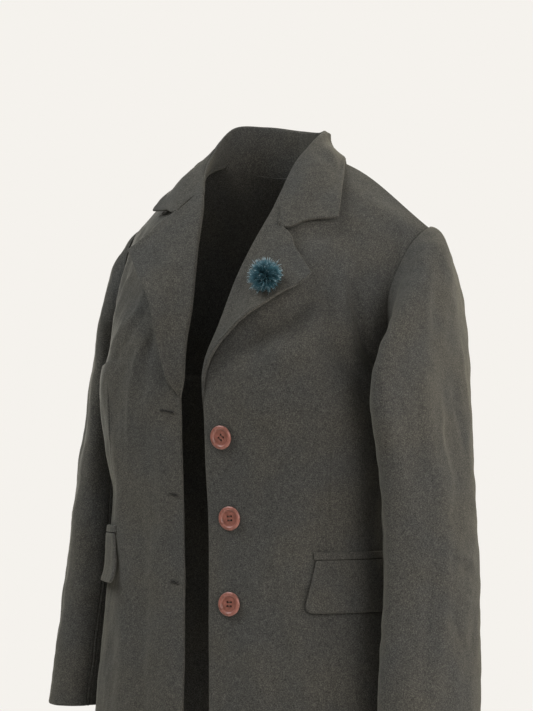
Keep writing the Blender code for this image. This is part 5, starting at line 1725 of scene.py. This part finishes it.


# Painted shade inside a buttonhole's slit: a near-black sheet for the wool there, with no light on it.
def shadow():
    """Painted shade for the inside of a slit, made once."""
    if "slit" not in MATERIALS:
        made, tree, output = blank_material("wool_cut_edge_in_slit")
        shader = add(tree, "ShaderNodeBsdfPrincipled", Base_Color=(*tone("#0B0A09"), 1.0), Roughness=1.0)
        tree.links.new(shader.outputs[0], output.inputs["Surface"])
        MATERIALS["slit"] = made
    return MATERIALS["slit"]


def pompom_place():
    """Middle of the pompom and the way it faces, on the left lapel."""
    across, place = POMPOM_PLACE
    places = [place - 0.01, place, place + 0.01]
    shares = [across - 0.01, across, across + 0.01]
    patch = lapel_surface(1, places, shares)
    patch = sprung(patch, normals_of(patch), places, shares, *LAPEL_SPRING)
    face = Vector(normals_of(patch)[1, 1])
    return Vector(patch[1, 1]) + face * (POMPOM_CORE + 0.0006), face


def add_hair(corners, faces, start, tip, sag, thick):
    """One tapering three-sided hair, a little bent, added to a mesh in the making."""
    beside = (tip - start).orthogonal().normalized()
    other = (tip - start).normalized().cross(beside)
    base = len(corners)
    for step, size in ((0.0, 1.3), (0.4, 1.1), (0.75, 0.75)):
        point = start.lerp(tip, step) + sag * (4 * step * (1 - step))
        for count in range(3):
            angle = 2 * math.pi * count / 3
            round_it = beside * math.cos(angle) + other * math.sin(angle)
            corners.append(point + round_it * thick * size)
    corners.append(tip)
    for ring in range(2):
        for count in range(3):
            a, b = base + ring * 3 + count, base + ring * 3 + (count + 1) % 3
            faces.append((a, b, b + 3, a + 3))
    for count in range(3):
        faces.append((base + 6 + count, base + 6 + (count + 1) % 3, base + 9))
    faces.append((base + 2, base + 1, base))


def make_pompom():
    """A round fur pompom: tufts of tapering hairs out of a small core."""
    trim = bpy.context.scene.coat_trim
    middle, face = pompom_place()
    chance = np.random.default_rng(5)
    corners, faces = [], []
    hairs_each = 6
    tufts = 0
    while tufts * hairs_each < trim.hair_count:
        way = Vector(unit(chance.normal(size=3)))
        if way.dot(face) < -0.38:
            continue
        tufts += 1
        reach = trim.hair_reach * chance.uniform(0.80, 1.0)
        if way.dot(face) < 0:
            reach *= 1 + 0.35 * way.dot(face)
        gathered = chance.uniform(0.10, 0.45)
        bend = Vector(chance.normal(size=3) * 0.0014) + Vector((0, 0, -0.0005))
        for _ in range(hairs_each):
            off = Vector(chance.normal(size=3) * 0.0008)
            start = way * POMPOM_CORE * 0.6 + off
            tip = way * reach * chance.uniform(0.88, 1.0) + off * gathered + bend
            add_hair(corners, faces, start, tip, bend * -0.35, chance.uniform(0.00009, 0.00014))
    mesh = bpy.data.meshes.new("pompom_fur")
    mesh.from_pydata([tuple(c) for c in corners], [], faces)
    mesh.shade_smooth()
    mesh.materials.append(dyed_fur(
        "dyed_fur_clipped", trim.fur_root, trim.fur_hair, trim.fur_tip, trim.hair_reach,
    ))
    made = bpy.data.objects.new("pompom_fur", mesh)
    bpy.context.scene.collection.objects.link(made)
    made.location = middle
    settle(made, "pompom")
    shape = bmesh.new()
    bmesh.ops.create_icosphere(shape, subdivisions=3, radius=POMPOM_CORE)
    for corner in shape.verts:
        corner.co *= 1 + 0.05 * math.sin(corner.co.x * 4000) * math.cos(corner.co.z * 3100)
    core_mesh = bpy.data.meshes.new("pompom_core")
    shape.to_mesh(core_mesh)
    shape.free()
    core_mesh.shade_smooth()
    core_mesh.materials.append(mesh.materials[0])
    core = bpy.data.objects.new("pompom_core", core_mesh)
    bpy.context.scene.collection.objects.link(core)
    core.location = middle
    settle(core, None)
    return made


# Photograph's viewpoint: azimuth, distance, height, tilt, lens and aim of the camera
VIEW_AZIMUTH = 33.0
VIEW_FOCAL = 1833.0
VIEW_DISTANCE = 2.2
VIEW_HEIGHT = -0.383
VIEW_ASIDE = 278.0
VIEW_HORIZON = 475.0
IMAGE_WIDE = 533
IMAGE_TALL = 711

# Lights: what they face, how far off and how large they are, then each one's name,
# azimuth from the coat's left and height above the coat's middle in degrees, and colour
LIGHT_AIM = Vector((0.0, -0.02, -0.42))
LIGHT_DISTANCE = 2.3
LIGHT_SIZE = (1.2, 1.4)
LIGHT_ROWS = [
    ("key", 332, 12, (1.0, 0.99, 0.97)),
    ("front", 300, 25, (1.0, 1.0, 0.99)),
    ("window", 228, 52, (0.94, 0.98, 1.0)),
    ("side", 10, 12, (1.0, 0.98, 0.94)),
    ("back", 80, 38, (1.0, 0.94, 0.80)),
    ("rim", 140, 12, (1.0, 0.98, 0.95)),
]


def place_camera():
    """A camera low in front of the coat, on its left, looking slightly up."""
    azimuth = math.radians(VIEW_AZIMUTH)
    up_angle = math.atan((VIEW_HORIZON - IMAGE_TALL / 2) / VIEW_FOCAL)
    right = Vector((math.cos(azimuth), math.sin(azimuth), 0.0))
    ahead = Vector((-math.sin(azimuth), math.cos(azimuth), 0.0))
    view = ahead * math.cos(up_angle) + Vector((0, 0, math.sin(up_angle)))
    up = ahead * -math.sin(up_angle) + Vector((0, 0, math.cos(up_angle)))
    aside = (IMAGE_WIDE / 2 - VIEW_ASIDE) * VIEW_DISTANCE / VIEW_FOCAL
    place = ahead * -VIEW_DISTANCE + right * aside + Vector((0, 0, VIEW_HEIGHT))
    camera = bpy.data.objects.new("camera", bpy.data.cameras.new("camera"))
    bpy.context.scene.collection.objects.link(camera)
    camera.data.sensor_width = 36.0
    camera.data.lens = VIEW_FOCAL * camera.data.sensor_width / IMAGE_TALL
    turned = Matrix((right, up, -view)).transposed().to_4x4()
    camera.matrix_world = Matrix.Translation(place) @ turned
    bpy.context.scene.camera = camera


def soft_light(name, power, azimuth, height, colour):
    """A large soft light round the coat: azimuth from the coat's left, height in degrees."""
    light = bpy.data.lights.new(name, "AREA")
    light.shape = "RECTANGLE"
    light.size, light.size_y = LIGHT_SIZE
    light.energy = power
    light.color = colour
    made = bpy.data.objects.new(name, light)
    bpy.context.scene.collection.objects.link(made)
    turned, raised = math.radians(azimuth), math.radians(height)
    way = Vector((
        math.cos(raised) * math.cos(turned),
        math.cos(raised) * math.sin(turned),
        math.sin(raised),
    ))
    made.location = LIGHT_AIM + way * LIGHT_DISTANCE
    made.rotation_euler = (-way).to_track_quat("-Z", "Y").to_euler()
    made.visible_camera = False
    return made


def make_stage():
    """Pale round floor, pale backdrop, soft lights and the camera."""
    studio = bpy.context.scene.coat_studio
    shape = bmesh.new()
    bmesh.ops.create_cone(
        shape, cap_ends=True, segments=96, radius1=studio.floor_radius,
        radius2=studio.floor_radius, depth=0.02,
    )
    mesh = bpy.data.meshes.new("floor")
    shape.to_mesh(mesh)
    shape.free()
    mesh.materials.append(matt_paper("matt_paper_floor", studio.backdrop))
    floor = bpy.data.objects.new("floor", mesh)
    floor.location = (0, 0, studio.floor_level - 0.01)
    bpy.context.scene.collection.objects.link(floor)
    world = bpy.data.worlds.new("pale_backdrop")
    bpy.context.scene.world = world
    world.use_nodes = True
    tree = world.node_tree
    tree.nodes.clear()
    seen = add(tree, "ShaderNodeBackground", Color=(*studio.backdrop, 1.0), Strength=1.0)
    around = add(tree, "ShaderNodeBackground", Color=(*studio.backdrop, 1.0), Strength=studio.ambient)
    ray = add(tree, "ShaderNodeLightPath")
    mixed = add(
        tree, "ShaderNodeMixShader",
        _0=ray.outputs["Is Camera Ray"], _1=around.outputs[0], _2=seen.outputs[0],
    )
    output = add(tree, "ShaderNodeOutputWorld")
    tree.links.new(mixed.outputs[0], output.inputs["Surface"])
    for name, azimuth, height, colour in LIGHT_ROWS:
        soft_light(name, getattr(studio, f"{name}_power"), azimuth, height, colour)
    place_camera()
    bpy.context.scene.view_settings.view_transform = "Standard"


class COAT_OT_body(bpy.types.Operator):
    """Lay the back and the two fronts."""

    bl_idname = "coat.body"
    bl_label = "Back and fronts"

    def execute(self, context):
        make_back()
        make_front(1)
        make_front(-1)
        return {"FINISHED"}


class COAT_OT_sleeves(bpy.types.Operator):
    """Set in the two sleeves."""

    bl_idname = "coat.sleeves"
    bl_label = "Sleeves"

    def execute(self, context):
        make_sleeve(1)
        make_sleeve(-1)
        return {"FINISHED"}


class COAT_OT_collar(bpy.types.Operator):
    """Turn down the collar and turn back the lapels."""

    bl_idname = "coat.collar"
    bl_label = "Collar and lapels"

    def execute(self, context):
        make_collar()
        make_lapel(1)
        make_lapel(-1)
        return {"FINISHED"}


class COAT_OT_pockets(bpy.types.Operator):
    """Sew on the pocket flaps and their welts."""

    bl_idname = "coat.pockets"
    bl_label = "Pockets"

    def execute(self, context):
        for side, half in ((1, "left"), (-1, "right")):
            lift = FLAP_LIFT if side > 0 else FLAP_LIFT * 2
            make_strip(
                f"flap_{half}", side, "hung", (0.0, FLAP_LENGTH), 0.0, FLAP_HEIGHT, FLAP_SLANT,
                lift, FLAP_CORNER, (24, 60),
            )
            make_strip(
                f"welt_{half}", side, "laid", (-0.002, FLAP_LENGTH + 0.002),
                -WELT_HEIGHT - SEAM_GAP, WELT_HEIGHT, 0.0, 0.0, 0.0, (6, 60),
            )
        return {"FINISHED"}


class COAT_OT_buttons(bpy.types.Operator):
    """Work the buttonholes and sew on the buttons."""

    bl_idname = "coat.buttons"
    bl_label = "Buttons and buttonholes"

    def execute(self, context):
        trim = context.scene.coat_trim
        finish = cast_polyester("cast_polyester_brown_pink", trim.button_deep, trim.button_light)
        for number, (z, from_edge, turned) in enumerate(BUTTON_ROWS, 1):
            make_button(number, z, from_edge, turned, finish)
        for number, (x, z) in enumerate(HOLE_ROWS, 1):
            make_buttonhole(number, x, z)
        return {"FINISHED"}


class COAT_OT_pompom(bpy.types.Operator):
    """Pin the fur pompom on the left lapel."""

    bl_idname = "coat.pompom"
    bl_label = "Pompom"

    def execute(self, context):
        make_pompom()
        return {"FINISHED"}


class COAT_OT_studio(bpy.types.Operator):
    """Set up floor, backdrop, lights and camera."""

    bl_idname = "coat.studio"
    bl_label = "Studio"

    def execute(self, context):
        make_stage()
        return {"FINISHED"}


class COAT_PT_sidebar(bpy.types.Panel):
    """The coat's pieces, in the order in which they are made."""

    bl_label = "Wool coat"
    bl_idname = "COAT_PT_sidebar"
    bl_space_type = "VIEW_3D"
    bl_region_type = "UI"
    bl_category = "Coat"

    def draw(self, context):
        for operator in OPERATORS:
            self.layout.operator(operator.bl_idname)
        for group in (context.scene.coat_cloth, context.scene.coat_trim, context.scene.coat_studio):
            box = self.layout.box()
            for name in group.__annotations__:
                box.prop(group, name)


OPERATORS = (
    COAT_OT_body,
    COAT_OT_sleeves,
    COAT_OT_collar,
    COAT_OT_pockets,
    COAT_OT_buttons,
    COAT_OT_pompom,
    COAT_OT_studio,
)
CLASSES = (CoatCloth, CoatTrim, CoatStudio, *OPERATORS, COAT_PT_sidebar)


def register():
    """Make the classes known to Blender."""
    for known in CLASSES:
        bpy.utils.register_class(known)
    bpy.types.Scene.coat_cloth = bpy.props.PointerProperty(type=CoatCloth)
    bpy.types.Scene.coat_trim = bpy.props.PointerProperty(type=CoatTrim)
    bpy.types.Scene.coat_studio = bpy.props.PointerProperty(type=CoatStudio)


def unregister():
    """Take the classes back out."""
    del bpy.types.Scene.coat_studio
    del bpy.types.Scene.coat_trim
    del bpy.types.Scene.coat_cloth
    for known in reversed(CLASSES):
        bpy.utils.unregister_class(known)


def main():
    """Make every piece in order."""
    register()
    for name in ("body", "sleeves", "collar", "pockets", "buttons", "pompom", "studio"):
        if getattr(bpy.ops.coat, name)() != {"FINISHED"}:
            raise RuntimeError(f"coat.{name} did not finish")


if __name__ == "__main__":
    main()
